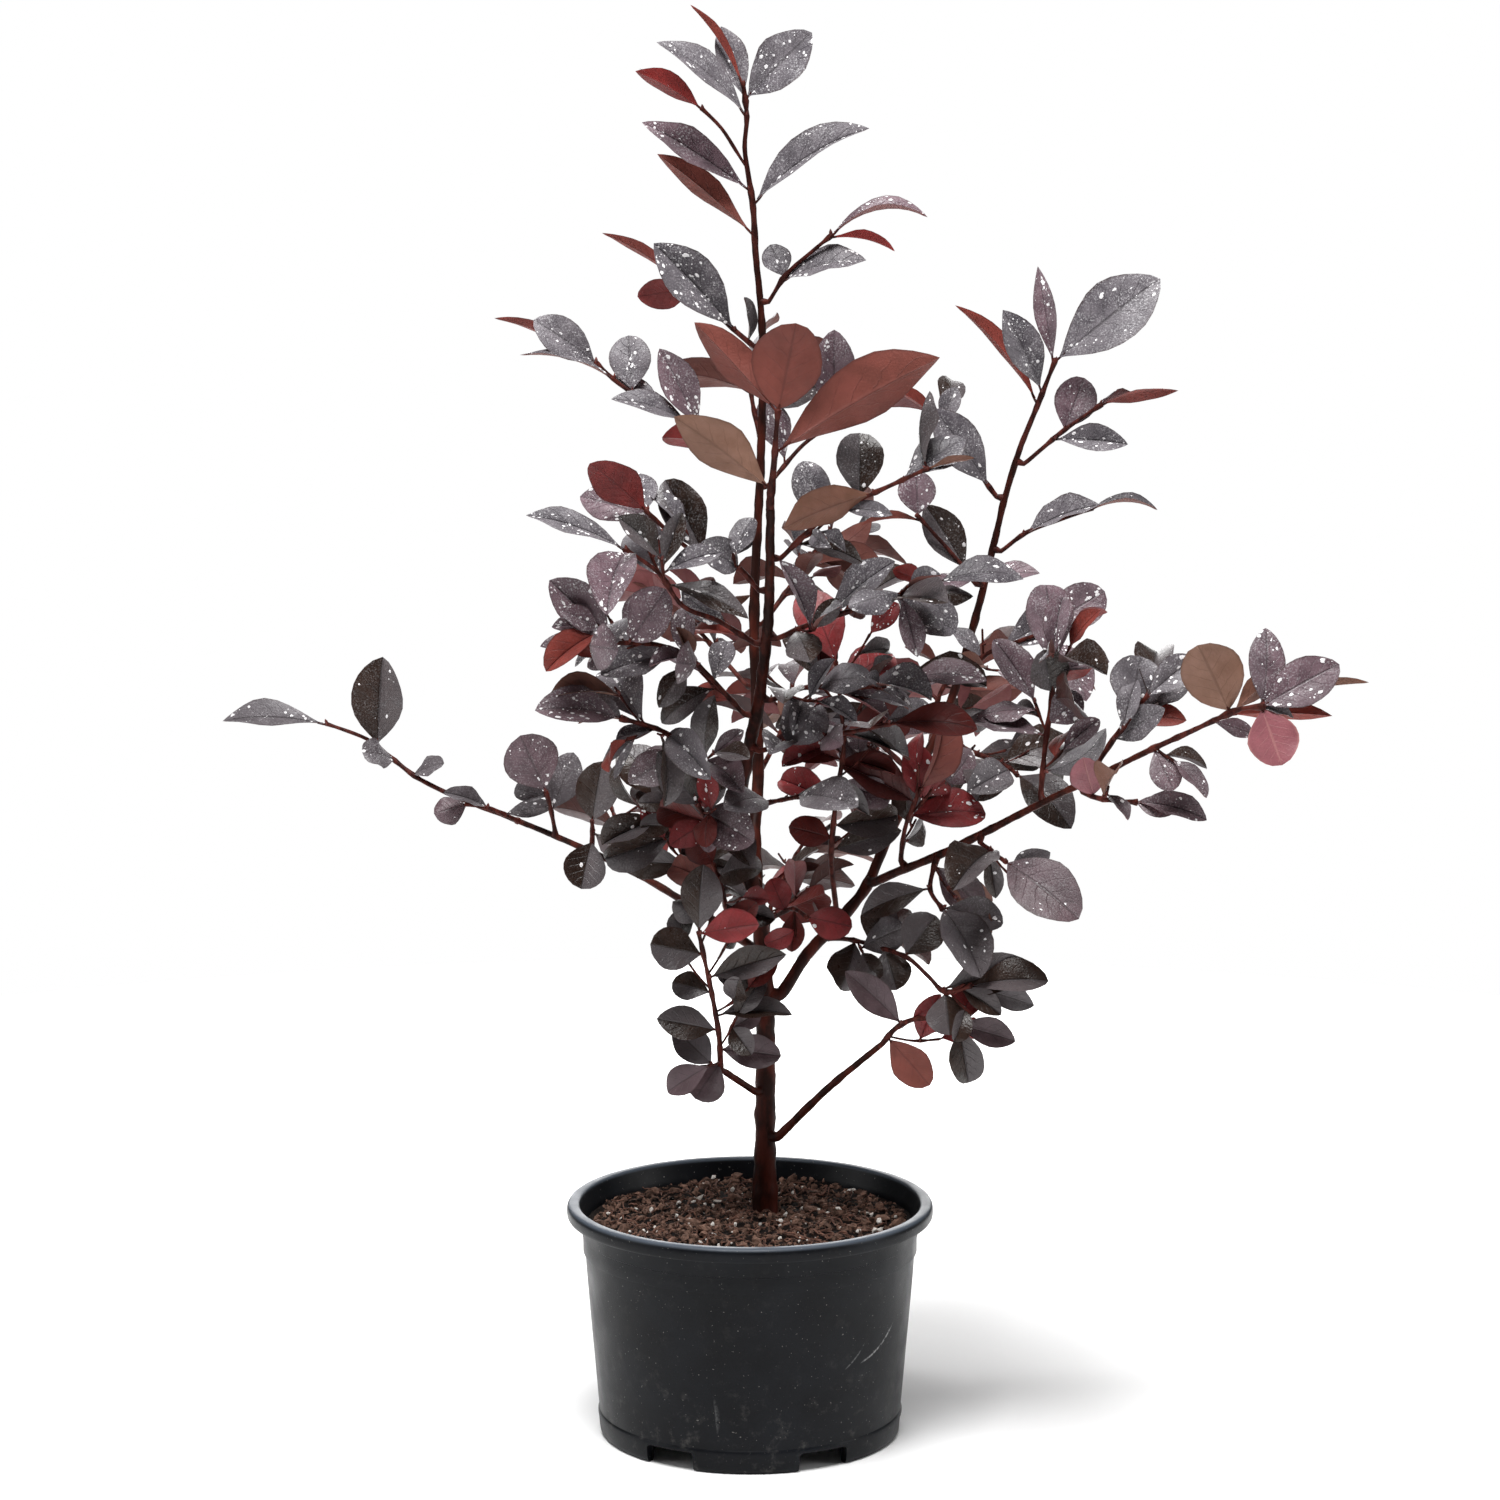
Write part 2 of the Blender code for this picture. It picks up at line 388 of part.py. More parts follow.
def smooth(points, spacing):
    """Even points on one smooth curve through a few given points."""
    curve = []
    last = len(points) - 1
    for index in range(last):
        before = points[max(index - 1, 0)]
        here = points[index]
        there = points[index + 1]
        after = points[min(index + 2, last)]
        count = max(1, round((there - here).length / spacing))
        for step in range(count):
            t = step / count
            curve.append(0.5 * (2 * here + (there - before) * t
                                + (2 * before - 5 * here + 4 * there - after) * t * t
                                + (3 * here - before - 3 * there + after) * t ** 3))
    curve.append(points[last])
    return curve


def tangents(centres):
    """Direction of travel at each point of a route."""
    last = len(centres) - 1
    return [(centres[min(i + 1, last)] - centres[max(i - 1, 0)]).normalized() for i in range(last + 1)]


def tube(centres, radii, sides, first_axis=None, first=0, last=None):
    """Vertices and faces of a closed round limb, or of its stretch between two of its rings."""
    axes = tangents(centres)
    if first_axis is not None:
        axes[0] = first_axis
    side = axes[0].orthogonal().normalized()
    last = len(centres) if last is None else last
    vertices = []
    for index, (centre, axis, radius) in enumerate(zip(centres, axes, radii)):
        if index:
            side = across(side, axis)
        if not first <= index < last:
            continue
        other = axis.cross(side)
        for corner in range(sides):
            angle = 2 * math.pi * corner / sides
            vertices.append(centre + (side * math.cos(angle) + other * math.sin(angle)) * radius)
    faces = [tuple(reversed(range(sides)))]
    for ring in range(last - first - 1):
        for corner in range(sides):
            low = ring * sides + corner
            low_next = ring * sides + (corner + 1) % sides
            faces.append((low, low_next, low_next + sides, low + sides))
    faces.append(tuple(range(len(vertices) - sides, len(vertices))))
    return vertices, faces


def along(centres, share):
    """Place and direction at a share of a route's length."""
    lengths = [(b - a).length for a, b in zip(centres, centres[1:])]
    left = share * sum(lengths)
    for index, length in enumerate(lengths):
        if left <= length or index == len(lengths) - 1:
            step = (centres[index + 1] - centres[index])
            return centres[index] + step * min(left / length, 1.0), step.normalized()
        left -= length
    return centres[-1], (centres[-1] - centres[-2]).normalized()


def leaf_solid(root, axis, up, length, wide, droop, swell=0.0):
    """A closed leaf: a thin stalk that opens into a blade and bends down towards its tip."""
    side = axis.cross(up).normalized()
    bend = math.radians(droop)
    half = 0.5 * wide * length + swell
    keel = max(KEEL_LEAST, KEEL_SHARE * length) + 2 * swell
    stalk = PETIOLE_RADIUS + swell
    vertices = [root - side * stalk + up * stalk * 0.6, root + side * stalk + up * stalk * 0.6,
                root - up * stalk]

    def spine(share):
        run = max(share - PETIOLE_SHARE, 0.0) / (1.0 - PETIOLE_SHARE)
        angle = bend * run
        reach = math.sin(angle) / bend if bend else run
        drop = (1.0 - math.cos(angle)) / bend if bend else 0.0
        blade = length * (1.0 - PETIOLE_SHARE)
        place = root + axis * (min(share, PETIOLE_SHARE) * length + reach * blade) - up * drop * blade
        return place, up * math.cos(angle) + axis * math.sin(angle)

    for share, breadth in LEAF_STATIONS:
        place, lift = spine(share)
        top = place + lift * swell
        vertices += [top - side * half * breadth, top + side * half * breadth,
                     top - lift * keel * (1.0 if share < 0.8 else 0.7)]
    tip, lift = spine(1.0)
    vertices.append(tip + axis * swell)
    faces = [(0, 1, 2)]
    for ring in range(len(LEAF_STATIONS)):
        low = 3 * ring
        for corner in range(3):
            after = (corner + 1) % 3
            faces.append((low + corner, low + 3 + corner, low + 3 + after, low + after))
    last = 3 * len(LEAF_STATIONS)
    end = last + 3
    faces += [(last, end, last + 1), (last + 1, end, last + 2), (last + 2, end, last)]
    return vertices, faces


class Space:
    """Remembers every solid that stands, so that a new one can be kept clear of it."""

    def __init__(self):
        self.solids = []

    @staticmethod
    def span(vertices):
        return [(min(v[i] for v in vertices), max(v[i] for v in vertices)) for i in range(3)]

    def add(self, shape, owner):
        vertices, faces = shape
        tree = BVHTree.FromPolygons(vertices, faces)
        self.solids.append((tree, self.span(vertices), owner))

    def is_clear(self, shape, skip):
        vertices, faces = shape
        tree = BVHTree.FromPolygons(vertices, faces)
        box = self.span(vertices)
        for other, reach, owner in self.solids:
            if skip(owner):
                continue
            if any(box[i][0] > reach[i][1] or box[i][1] < reach[i][0] for i in range(3)):
                continue
            if tree.overlap(other):
                return False
        return True


def foot_of(parent_centres, parent_radii, at, toward):
    """Where a limb or shoot starts: clear of its parent's tip, or square to its parent's side."""
    place, axis = along(parent_centres, at)
    share = at * (len(parent_radii) - 1)
    low = min(int(share), len(parent_radii) - 2)
    radius = parent_radii[low] + (parent_radii[low + 1] - parent_radii[low]) * (share - low)
    if at >= 1.0:
        return place + axis * GAP, axis, 0.0
    out = across(toward, axis)
    return place + out * (radius + GAP), out, radius


def grow_limb(limb, grown):
    """Route, radii and solid of one tapering limb."""
    if limb.parent is None:
        points = walk(limb.start, limb.legs)
        first = Vector((0, 0, 1))
    else:
        centres, radii = grown[limb.parent][:2]
        start, first, parent_radius = foot_of(centres, radii, limb.at, bearing(*limb.legs[0][:2]))
        collar = start + first * limb.foot * LIMB_COLLAR
        heading, rise, length = limb.legs[0]
        legs = ((heading, rise, length - limb.foot - parent_radius),) + limb.legs[1:]
        points = [start] + walk(collar, legs)
    centres = smooth(points, LIMB_STEP)
    total = len(centres) - 1
    radii = [limb.foot + (limb.tip - limb.foot) * (i / total) ** LIMB_TAPER for i in range(total + 1)]
    if limb.parent is None:
        centres[1:1] = [centres[0] + Vector((0, 0, rise)) for rise in FLARE_RISE]
        radii[0:1] = [limb.foot + extra for extra in ROOT_FLARE]
    return centres, radii, tube(centres, radii, limb.sides, first)


def leaf_axes(axis, spin, spread, face, roll):
    """Direction of a leaf's midrib and of its upper side."""
    reference = Vector((0, 0, 1)) if abs(axis.z) < 0.7 else Vector((1, 0, 0))
    base = across(reference, axis)
    side = Matrix.Rotation(math.radians(spin), 3, axis) @ base
    angle = math.radians(spread)
    midrib = (axis * math.cos(angle) + side * math.sin(angle)).normalized()
    heading, strength = face
    look = Vector((0, 0, 1)) + bearing(heading, 0) * strength
    up = across(look, midrib)
    return midrib, Matrix.Rotation(math.radians(roll), 3, midrib) @ up


def stand(space, shoot, joint, midrib, up, size, wide, droop):
    """The solid of a leaf, if it stands clear of everything else."""
    solid = leaf_solid(joint, midrib, up, size, wide, droop)
    guard = leaf_solid(joint, midrib, up, size, wide, droop, CLEARANCE)
    blade = leaf_solid(joint + midrib * FREE_FOOT * size, midrib, up, size * FREE_BLADE, wide, droop)
    if not space.is_clear(guard, lambda owner: owner == shoot.name):
        return None
    if not space.is_clear(blade, lambda owner: owner != shoot.name):
        return None
    space.add(solid, shoot.name)
    return solid


def place_leaf(space, shoot, rng, joint, axis, spin, spread, length):
    """Tries a leaf at a joint, turned a little more each time, until it stands clear."""
    roll = rng.gauss(0, ROLL_STRAY)
    if rng.random() < TWISTED:
        roll += rng.choice((-TWIST_ROLL, TWIST_ROLL))
    droop = rng.uniform(*DROOP)
    wide = shoot.wide * rng.uniform(0.9, 1.12)
    for attempt in range(LEAF_TRIES):
        reach = LEAF_TURN * attempt
        midrib, up = leaf_axes(axis, spin + rng.uniform(-reach, reach),
                               spread + rng.uniform(-reach, reach) * 0.5, shoot.face,
                               roll + rng.uniform(-reach, reach))
        size = length * (1.0 - LEAF_SHRINK * attempt)
        solid = stand(space, shoot, joint, midrib, up, size, wide, droop)
        if solid:
            return solid
    return None


def aim_leaf(space, shoot, rng, centres, aim):
    """A leaf that ends at its reach from its joint, or as near to it as it stands clear."""
    joint, axis = along(centres, aim.at)
    if aim.at >= 1.0:
        joint = centres[-1] - axis * SET_BACK
    chord = Vector(aim.reach)
    bend = math.radians(aim.droop)
    arc = PETIOLE_SHARE + (1.0 - PETIOLE_SHARE) * math.sin(bend / 2.0) / (bend / 2.0)
    for attempt in range(AIM_TRIES):
        stray = AIM_STRAY * attempt
        heading = chord.normalized() + Vector([rng.uniform(-stray, stray) for i in range(3)])
        heading.normalize()
        look = bearing(*aim.look) + Vector([rng.uniform(-stray, stray) for i in range(3)]) * 2.0
        lift = across(look, heading)
        midrib = heading * math.cos(bend / 2.0) + lift * math.sin(bend / 2.0)
        up = lift * math.cos(bend / 2.0) - heading * math.sin(bend / 2.0)
        size = chord.length / arc * (1.0 - AIM_SHRINK * attempt)
        solid = stand(space, shoot, joint, midrib, up, size, aim.wide, aim.droop)
        if solid:
            return solid
    return None


def grow_leaves(space, shoot, rng, centres, count, bare):
    """Alternate leaves along a twig, with one more at its tip."""
    solids = []
    for index in range(count):
        last = index == count - 1
        share = bare + (1.0 - bare) * (index / max(count - 1, 1))
        joint, axis = along(centres, share)
        if last:
            joint = centres[-1] - axis * SET_BACK
        spin = shoot.turn + 180.0 * (index % 2) + rng.gauss(0, SPIN_STRAY)
        spread = SPREAD + SPREAD_UPRIGHT * abs(axis.z) + rng.uniform(-9, 9)
        if last:
            spread = shoot.tip + rng.uniform(-5, 5)
        size = shoot.leaf * (0.80 + 0.25 * share) * rng.uniform(0.92, 1.08)
        leaf = place_leaf(space, shoot, rng, joint, axis, spin, spread, size)
        if leaf:
            solids.append(leaf)
    return solids


def grow_twigs(space, shoot, grown):
    """Stem and side twigs of one mass: their solids, and the routes that leaves will follow."""
    rng = random.Random(shoot.seed)
    parent_centres, parent_radii = grown[shoot.limb][:2]
    end_on = shoot.at >= 1.0
    width = parent_radii[-1] if end_on else TWIG_TIP_RADIUS * (1.25 + 0.04 * shoot.leaves)
    for attempt in range(STEM_TRIES):
        bend = STEM_BEND * attempt
        legs = [(h + rng.uniform(-bend, bend), r + rng.uniform(-bend, bend), length)
                for h, r, length in shoot.legs]
        start, first, skip = foot_of(parent_centres, parent_radii, shoot.at, bearing(*legs[0][:2]))
        points = [start] + walk(start + first * max(width * STEM_COLLAR, STEM_COLLAR_LEAST), legs)
        centres = smooth(points, TWIG_STEP)
        total = len(centres) - 1
        radii = [width + (TWIG_TIP_RADIUS - width) * i / total for i in range(total + 1)]
        stem = tube(centres, radii, ROOT_SIDES, first)
        wide = [radius + 2 * CLEARANCE for radius in radii]
        guard = tube(centres, wide, ROOT_SIDES, first, 1)
        collar = tube(centres, wide, ROOT_SIDES, first, 0, 2)
        if (space.is_clear(guard, lambda owner: False)
                and space.is_clear(collar, lambda owner: owner == shoot.limb)):
            break
    else:
        raise ValueError("no room for " + shoot.name)
    space.add(stem, shoot.name)
    solids = [stem]
    twigs = [(centres, shoot.leaves, shoot.bare)]
    for at, side_legs, count in shoot.side:
        joint, axis = along(centres, at)
        route = smooth(walk(joint, side_legs), TWIG_STEP)
        slim = [SIDE_FOOT * TWIG_TIP_RADIUS] + [TWIG_TIP_RADIUS] * (len(route) - 1)
        twig = tube(route, slim, ROOT_SIDES)
        guard = tube(route, [radius + 2 * CLEARANCE for radius in slim], ROOT_SIDES)
        if space.is_clear(guard, lambda owner: owner == shoot.name):
            space.add(twig, shoot.name)
            solids.append(twig)
            twigs.append((route, count, SIDE_BARE))
    return solids, twigs


def finish(name, tone):
    """A plain material in one of the named tones."""
    material = bpy.data.materials.new(name)
    material.use_nodes = True
    shader = material.node_tree.nodes["Principled BSDF"]
    colour, roughness = TONES[tone]
    shader.inputs["Base Color"].default_value = (*colour, 1.0)
    shader.inputs["Roughness"].default_value = roughness
    shader.inputs["Metallic"].default_value = 0.0
    return material


def add_object(name, shape, tone=None):
    """An object from vertices in millimetres and faces, turned outwards."""
    vertices, faces = shape
    mesh = bpy.data.meshes.new(name)
    form = bmesh.new()
    made = [form.verts.new(Vector(v) * MM) for v in vertices]
    for face in faces:
        form.faces.new([made[i] for i in face])
    bmesh.ops.triangulate(form, faces=form.faces)
    bmesh.ops.recalc_face_normals(form, faces=form.faces)
    form.to_mesh(mesh)
    form.free()
    item = bpy.data.objects.new(name, mesh)
    bpy.context.scene.collection.objects.link(item)
    if tone:
        mesh.materials.append(finish(name, tone))
    return item


def apply_modifiers(item):
    """Keeps the shape that an object's modifiers give it, as its own mesh."""
    view = bpy.context.evaluated_depsgraph_get()
    baked = bpy.data.meshes.new_from_object(item.evaluated_get(view))
    old = item.data
    item.modifiers.clear()
    item.data = baked
    bpy.data.meshes.remove(old)


def drop_scraps(item):
    """Keeps only the largest body of a mesh."""
    form = bmesh.new()
    form.from_mesh(item.data)
    left = set(form.verts)
    bodies = []
    while left:
        front = [left.pop()]
        body = list(front)
        while front:
            vertex = front.pop()
            for edge in vertex.link_edges:
                other = edge.other_vert(vertex)
                if other in left:
                    left.remove(other)
                    front.append(other)
                    body.append(other)
        bodies.append(body)
    bodies.sort(key=len)
    for body in bodies[:-1]:
        bmesh.ops.delete(form, geom=body, context="VERTS")
    bmesh.ops.triangulate(form, faces=form.faces)
    form.to_mesh(item.data)
    form.free()


def fuse(name, solids, tone):
    """Joins a stem with its twigs and leaves into one closed body."""
    item = add_object(name, solids[0], tone)
    helpers = bpy.data.collections.new(name + "_pieces")
    bpy.context.scene.collection.children.link(helpers)
    for index, solid in enumerate(solids[1:]):
        piece = add_object("{}_{}".format(name, index), solid)
        bpy.context.scene.collection.objects.unlink(piece)
        helpers.objects.link(piece)
    union = item.modifiers.new("union", "BOOLEAN")
    union.operation = "UNION"
    union.operand_type = "COLLECTION"
    union.collection = helpers
    union.solver = "MANIFOLD"
    apply_modifiers(item)
    for piece in list(helpers.objects):
        mesh = piece.data
        bpy.data.objects.remove(piece)
        bpy.data.meshes.remove(mesh)
    bpy.data.collections.remove(helpers)
    drop_scraps(item)
    return item


def turned(profile, steps):
    """Vertices and faces of a solid turned about the upright axis, its profile ending on it."""
    vertices = [Vector((0, 0, profile[0][1]))]
    for radius, height in profile[1:-1]:
        for step in range(steps):
            angle = math.radians(360.0 * step / steps)
            vertices.append(Vector((radius * math.cos(angle), radius * math.sin(angle), height)))
    vertices.append(Vector((0, 0, profile[-1][1])))
    rings = len(profile) - 2
    last = len(vertices) - 1
    faces = []
    for step in range(steps):
        after = (step + 1) % steps
        faces.append((0, 1 + after, 1 + step))
        for ring in range(rings - 1):
            low = 1 + ring * steps
            faces.append((low + step, low + after, low + steps + after, low + steps + step))
        top = 1 + (rings - 1) * steps
        faces.append((last, top + step, top + after))
    return vertices, faces


def pot_profile():
    """Half section of the pot, from the middle of its underside round to the middle of its floor."""
    shelf = POT_HEIGHT - LIP_DEPTH
    collar_foot = shelf - COLLAR_DEPTH
    recess = BODY_FOOT_RADIUS - FOOT_RING
    floor_top = FOOT_BAND - 1.0 + FLOOR
    return ((0.0, FOOT_BAND - 1.0), (recess - 0.6, FOOT_BAND - 1.0), (recess, 0.0),
            (BODY_FOOT_RADIUS - 1.9, 0.0), (BODY_FOOT_RADIUS - 0.3, 1.8), (BODY_FOOT_RADIUS + 0.4, 5.0),
            (BODY_FOOT_RADIUS + 0.6, FOOT_BAND), (BODY_FOOT_RADIUS, FOOT_BAND + 0.8),
            (BODY_TOP_RADIUS, collar_foot), (COLLAR_RADIUS - 0.6, collar_foot + 1.0),
            (COLLAR_RADIUS, shelf - 0.4), (LIP_RADIUS - 1.6, shelf), (LIP_RADIUS, shelf + 1.8),
            (LIP_RADIUS, POT_HEIGHT - 2.6), (LIP_RADIUS - 1.2, POT_HEIGHT - 0.5),
            (LIP_RADIUS - 2.8, POT_HEIGHT), (LIP_RADIUS - 4.8, POT_HEIGHT - 0.6),
            (COLLAR_RADIUS + 0.6, POT_HEIGHT - 3.4), (COLLAR_RADIUS - WALL, shelf - 2.0),
            (BODY_TOP_RADIUS - WALL, collar_foot - 0.6), (BODY_FOOT_RADIUS - WALL, floor_top + 1.4),
            (BODY_FOOT_RADIUS - WALL - 1.6, floor_top), (0.0, floor_top))


def make_pot():
    """The pot, with six notches that leave its foot band as six feet."""
    pot = add_object("pot", turned(pot_profile(), POT_STEPS), "plastic")
    width = 2.0 * BODY_FOOT_RADIUS * math.sin(math.radians(NOTCH_ANGLE / 2.0))
    deep = 3.0 * FOOT_RING
    for index in range(FEET):
        heading = math.radians(-90.0 + (index + 0.5) * 360.0 / FEET)
        bpy.ops.mesh.primitive_cube_add(size=1.0)
        cutter = bpy.context.object
        cutter.name = "notch_{}".format(index)
        cutter.scale = (deep * MM, width * MM, 2.0 * NOTCH_HEIGHT * MM)
        bpy.ops.object.transform_apply(location=False, rotation=False, scale=True)
        reach = BODY_FOOT_RADIUS - FOOT_RING / 2.0
        cutter.location = (reach * math.cos(heading) * MM, reach * math.sin(heading) * MM, 0.0)
        cutter.rotation_euler = (0.0, 0.0, heading)
        cutter.hide_render = True
        cutter.display_type = "WIRE"
        rounding = cutter.modifiers.new("rounded", "BEVEL")
        rounding.width = 1.8 * MM
        rounding.segments = 2
        bpy.context.view_layer.update()
        notch = pot.modifiers.new("notch", "BOOLEAN")
        notch.operation = "DIFFERENCE"
        notch.object = cutter
        notch.solver = "EXACT"
    apply_modifiers(pot)
    for item in [o for o in bpy.data.objects if o.name.startswith("notch_")]:
        bpy.data.objects.remove(item)
    pot.rotation_euler = (0.0, 0.0, math.radians(POT_TURN))
    return pot


def soil_height(x, y, rng):
    """Height of the peat: a low rough mound, level where the trunk stands."""
    share = min(1.0, math.hypot(x, y) / BODY_TOP_RADIUS)
    mound = SOIL_EDGE + (SOIL_TOP - 0.4 - SOIL_EDGE) * (1.0 - share * share)
    rough = mound + rng.uniform(-SOIL_ROUGHNESS, SOIL_ROUGHNESS) * (1.0 - share ** 6)
    away = (math.hypot(x - FOOT_X, y - FOOT_Y) - FLAT_AROUND_TRUNK) / FLAT_AROUND_TRUNK
    blend = min(1.0, max(0.0, away))
    return SOIL_TOP + (rough - SOIL_TOP) * blend


def make_soil():
    """The peat that fills the pot, a hair clear of its wall and floor."""
    floor_top = FOOT_BAND - 1.0 + FLOOR
    shelf = POT_HEIGHT - LIP_DEPTH
    collar_foot = shelf - COLLAR_DEPTH
    inset = WALL + GAP * 1.3
    profile = [(0.0, floor_top + GAP), (BODY_FOOT_RADIUS - inset - 1.8, floor_top + GAP),
               (BODY_FOOT_RADIUS - inset, floor_top + 1.6), (BODY_TOP_RADIUS - inset, collar_foot - 0.6),
               (COLLAR_RADIUS - inset, shelf - 2.2)]
    sides = len(profile)
    profile += [(radius, SOIL_EDGE) for radius in (70.0, 60.0, 48.0, 36.0, 24.0, 12.0)]
    profile.append((0.0, SOIL_TOP))
    vertices, faces = turned(profile, POT_STEPS)
    rng = random.Random(8)
    first_top = 1 + (sides - 1) * POT_STEPS
    for index in range(first_top, len(vertices)):
        vertex = vertices[index]
        vertex.z = soil_height(vertex.x, vertex.y, rng)
    soil = add_object("soil", (vertices, faces), "peat")
    soil.rotation_euler = (0.0, 0.0, math.radians(POT_TURN))
    return soil


def ground_guard():
    """Pot and soil as one plain drum that no leaf may reach into."""
    return turned(((0.0, 0.0), (LIP_RADIUS, 0.0), (LIP_RADIUS, POT_HEIGHT + 1.0),
                   (COLLAR_RADIUS, POT_HEIGHT + 1.0), (COLLAR_RADIUS, SOIL_TOP), (0.0, SOIL_TOP)), 24)


def grow_plant():
    """All limbs and all masses, by name, as lists of closed solids."""
    grown = {}
    space = Space()
    space.add(ground_guard(), "ground")
    for limb in LIMBS:
        grown[limb.name] = grow_limb(limb, grown)
        space.add(grown[limb.name][2], limb.name)
    masses = {}
    twigs = {}
    for shoot in SHOOTS:
        masses[shoot.name], twigs[shoot.name] = grow_twigs(space, shoot, grown)
    for shoot in SHOOTS:
        rng = random.Random(AIM_SEED + shoot.seed)
        for aim in AIMS.get(shoot.name, ()):
            leaf = aim_leaf(space, shoot, rng, twigs[shoot.name][aim.twig][0], aim)
            if leaf:
                masses[shoot.name].append(leaf)
    for shoot in SHOOTS:
        rng = random.Random(LEAF_SEED + shoot.seed)
        for route, count, bare in twigs[shoot.name]:
            masses[shoot.name] += grow_leaves(space, shoot, rng, route, count, bare)
    return grown, masses


def main():
    """Clears the scene, then makes the pot, the soil, the limbs and the masses of leaves."""
    for item in list(bpy.data.objects):
        bpy.data.objects.remove(item)
    make_pot()
    make_soil()
    grown, masses = grow_plant()
    for limb in LIMBS:
        item = add_object(limb.name, grown[limb.name][2], limb.colour)
        item.data.shade_smooth()
    for shoot in SHOOTS:
        fuse(shoot.name, masses[shoot.name], shoot.tone)


main()
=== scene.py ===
import json
import math
import random
from collections import namedtuple

import bpy
from mathutils import Matrix, Vector, noise
from mathutils.bvhtree import BVHTree

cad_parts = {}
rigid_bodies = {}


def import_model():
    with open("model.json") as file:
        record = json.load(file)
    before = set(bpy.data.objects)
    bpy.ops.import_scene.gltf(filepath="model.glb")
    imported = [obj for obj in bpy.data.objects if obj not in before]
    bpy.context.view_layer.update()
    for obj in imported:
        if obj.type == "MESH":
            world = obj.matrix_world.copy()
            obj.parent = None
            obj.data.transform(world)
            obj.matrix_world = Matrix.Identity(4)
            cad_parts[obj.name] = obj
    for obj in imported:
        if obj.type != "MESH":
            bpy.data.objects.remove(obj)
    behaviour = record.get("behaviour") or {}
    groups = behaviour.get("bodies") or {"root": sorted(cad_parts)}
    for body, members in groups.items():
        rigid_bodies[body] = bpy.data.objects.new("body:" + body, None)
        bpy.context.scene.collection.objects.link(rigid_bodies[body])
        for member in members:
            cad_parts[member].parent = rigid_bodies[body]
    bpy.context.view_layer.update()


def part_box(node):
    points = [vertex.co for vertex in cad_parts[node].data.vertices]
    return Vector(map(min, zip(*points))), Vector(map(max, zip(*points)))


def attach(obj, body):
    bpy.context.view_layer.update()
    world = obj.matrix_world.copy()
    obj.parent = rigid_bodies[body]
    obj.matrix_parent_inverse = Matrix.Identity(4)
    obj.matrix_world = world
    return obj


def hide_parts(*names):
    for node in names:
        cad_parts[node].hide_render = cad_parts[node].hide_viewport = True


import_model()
bpy.ops.object.select_all(action="DESELECT")

# Purple-leaved fringe flower in a black nursery pot. Tables are in millimetres and degrees.
# A heading of 0 points to +X and of 90 to +Y, the back of the plant. A rise of 90 is straight up.
MM = 0.001
GAP = 0.3

# Squat round nursery pot with a rolled lip and six feet
POT_HEIGHT = 109.0
LIP_RADIUS = 85.0
COLLAR_RADIUS = 78.0
BODY_TOP_RADIUS = 76.8
BODY_FOOT_RADIUS = 70.4
FOOT_RING = 4.6
WALL = 1.5
POT_STEPS = 120
POT_TURN = -1.5
FEET = 6
NOTCH_ANGLE = 20.0
NOTCH_HEIGHT = 9.0

# Peat, a little below the lip and mounded towards the trunk
SOIL_TOP = 101.0
SOIL_EDGE = 99.0
FOOT_X = 7.0
FOOT_Y = 12.0

# Growth rule
LEAF_STATIONS = ((0.24, 0.76), (0.52, 1.0), (0.82, 0.74))
PETIOLE_SHARE = 0.10
PETIOLE_RADIUS = 0.42
KEEL_SHARE = 0.021
KEEL_LEAST = 0.7
KEEL_THIN_FROM = 0.8
KEEL_THIN = 0.7
STALK_CREST = 0.6
ROOT_SIDES = 3
TWIG_TIP_RADIUS = 0.85
TWIG_STEP = 15.0
LIMB_STEP = 14.0
SPREAD = 50.0
SPREAD_UPRIGHT = 24.0
DROOP = (20, 52)
TWISTED = 0.12
LEAF_SEED = 700
CLEARANCE = 0.38
LEAF_TRIES = 9
LEAF_TURN = 9.0
LEAF_SHRINK = 0.03
LEAF_BREADTH = (0.9, 1.12)
SPREAD_TURN = 0.5
AIM_TRIES = 8
AIM_STRAY = 0.045
AIM_SHRINK = 0.025
LOOK_STRAY = 2.0
AIM_SEED = 300
FREE_FOOT = 0.22
FREE_BLADE = 0.8
SET_BACK = 1.2
ROLL_STRAY = 14
TWIST_ROLL = 80
SPIN_STRAY = 22
SPREAD_STRAY = 9
TIP_STRAY = 5
LOWEST_SIZE = 0.80
SIZE_GAIN = 0.25
SIZE_STRAY = (0.92, 1.08)
LIMB_TAPER = 0.85
LIMB_COLLAR = 0.9
ROOT_FLARE = (1.8, 0.7, 0.2)
FLARE_RISE = (3.0, 7.0)
STEM_BEND = 2.5
STEM_COLLAR = 1.6
STEM_COLLAR_LEAST = 2.2
STEM_WIDTH = 1.25
STEM_WIDTH_PER_LEAF = 0.04
SIDE_FOOT = 0.45
SIDE_BARE = 0.45
STEM_TRIES = 16

Limb = namedtuple("Limb", "name parent at start legs foot tip sides")
Shoot = namedtuple("Shoot", "name limb at legs leaves leaf wide turn face bare tone seed tip side",
                   defaults=(9, ()))
Aim = namedtuple("Aim", "at reach wide droop look twig", defaults=(0,))
Leaf = namedtuple("Leaf", "joint axis up length wide droop tone at is_aimed")

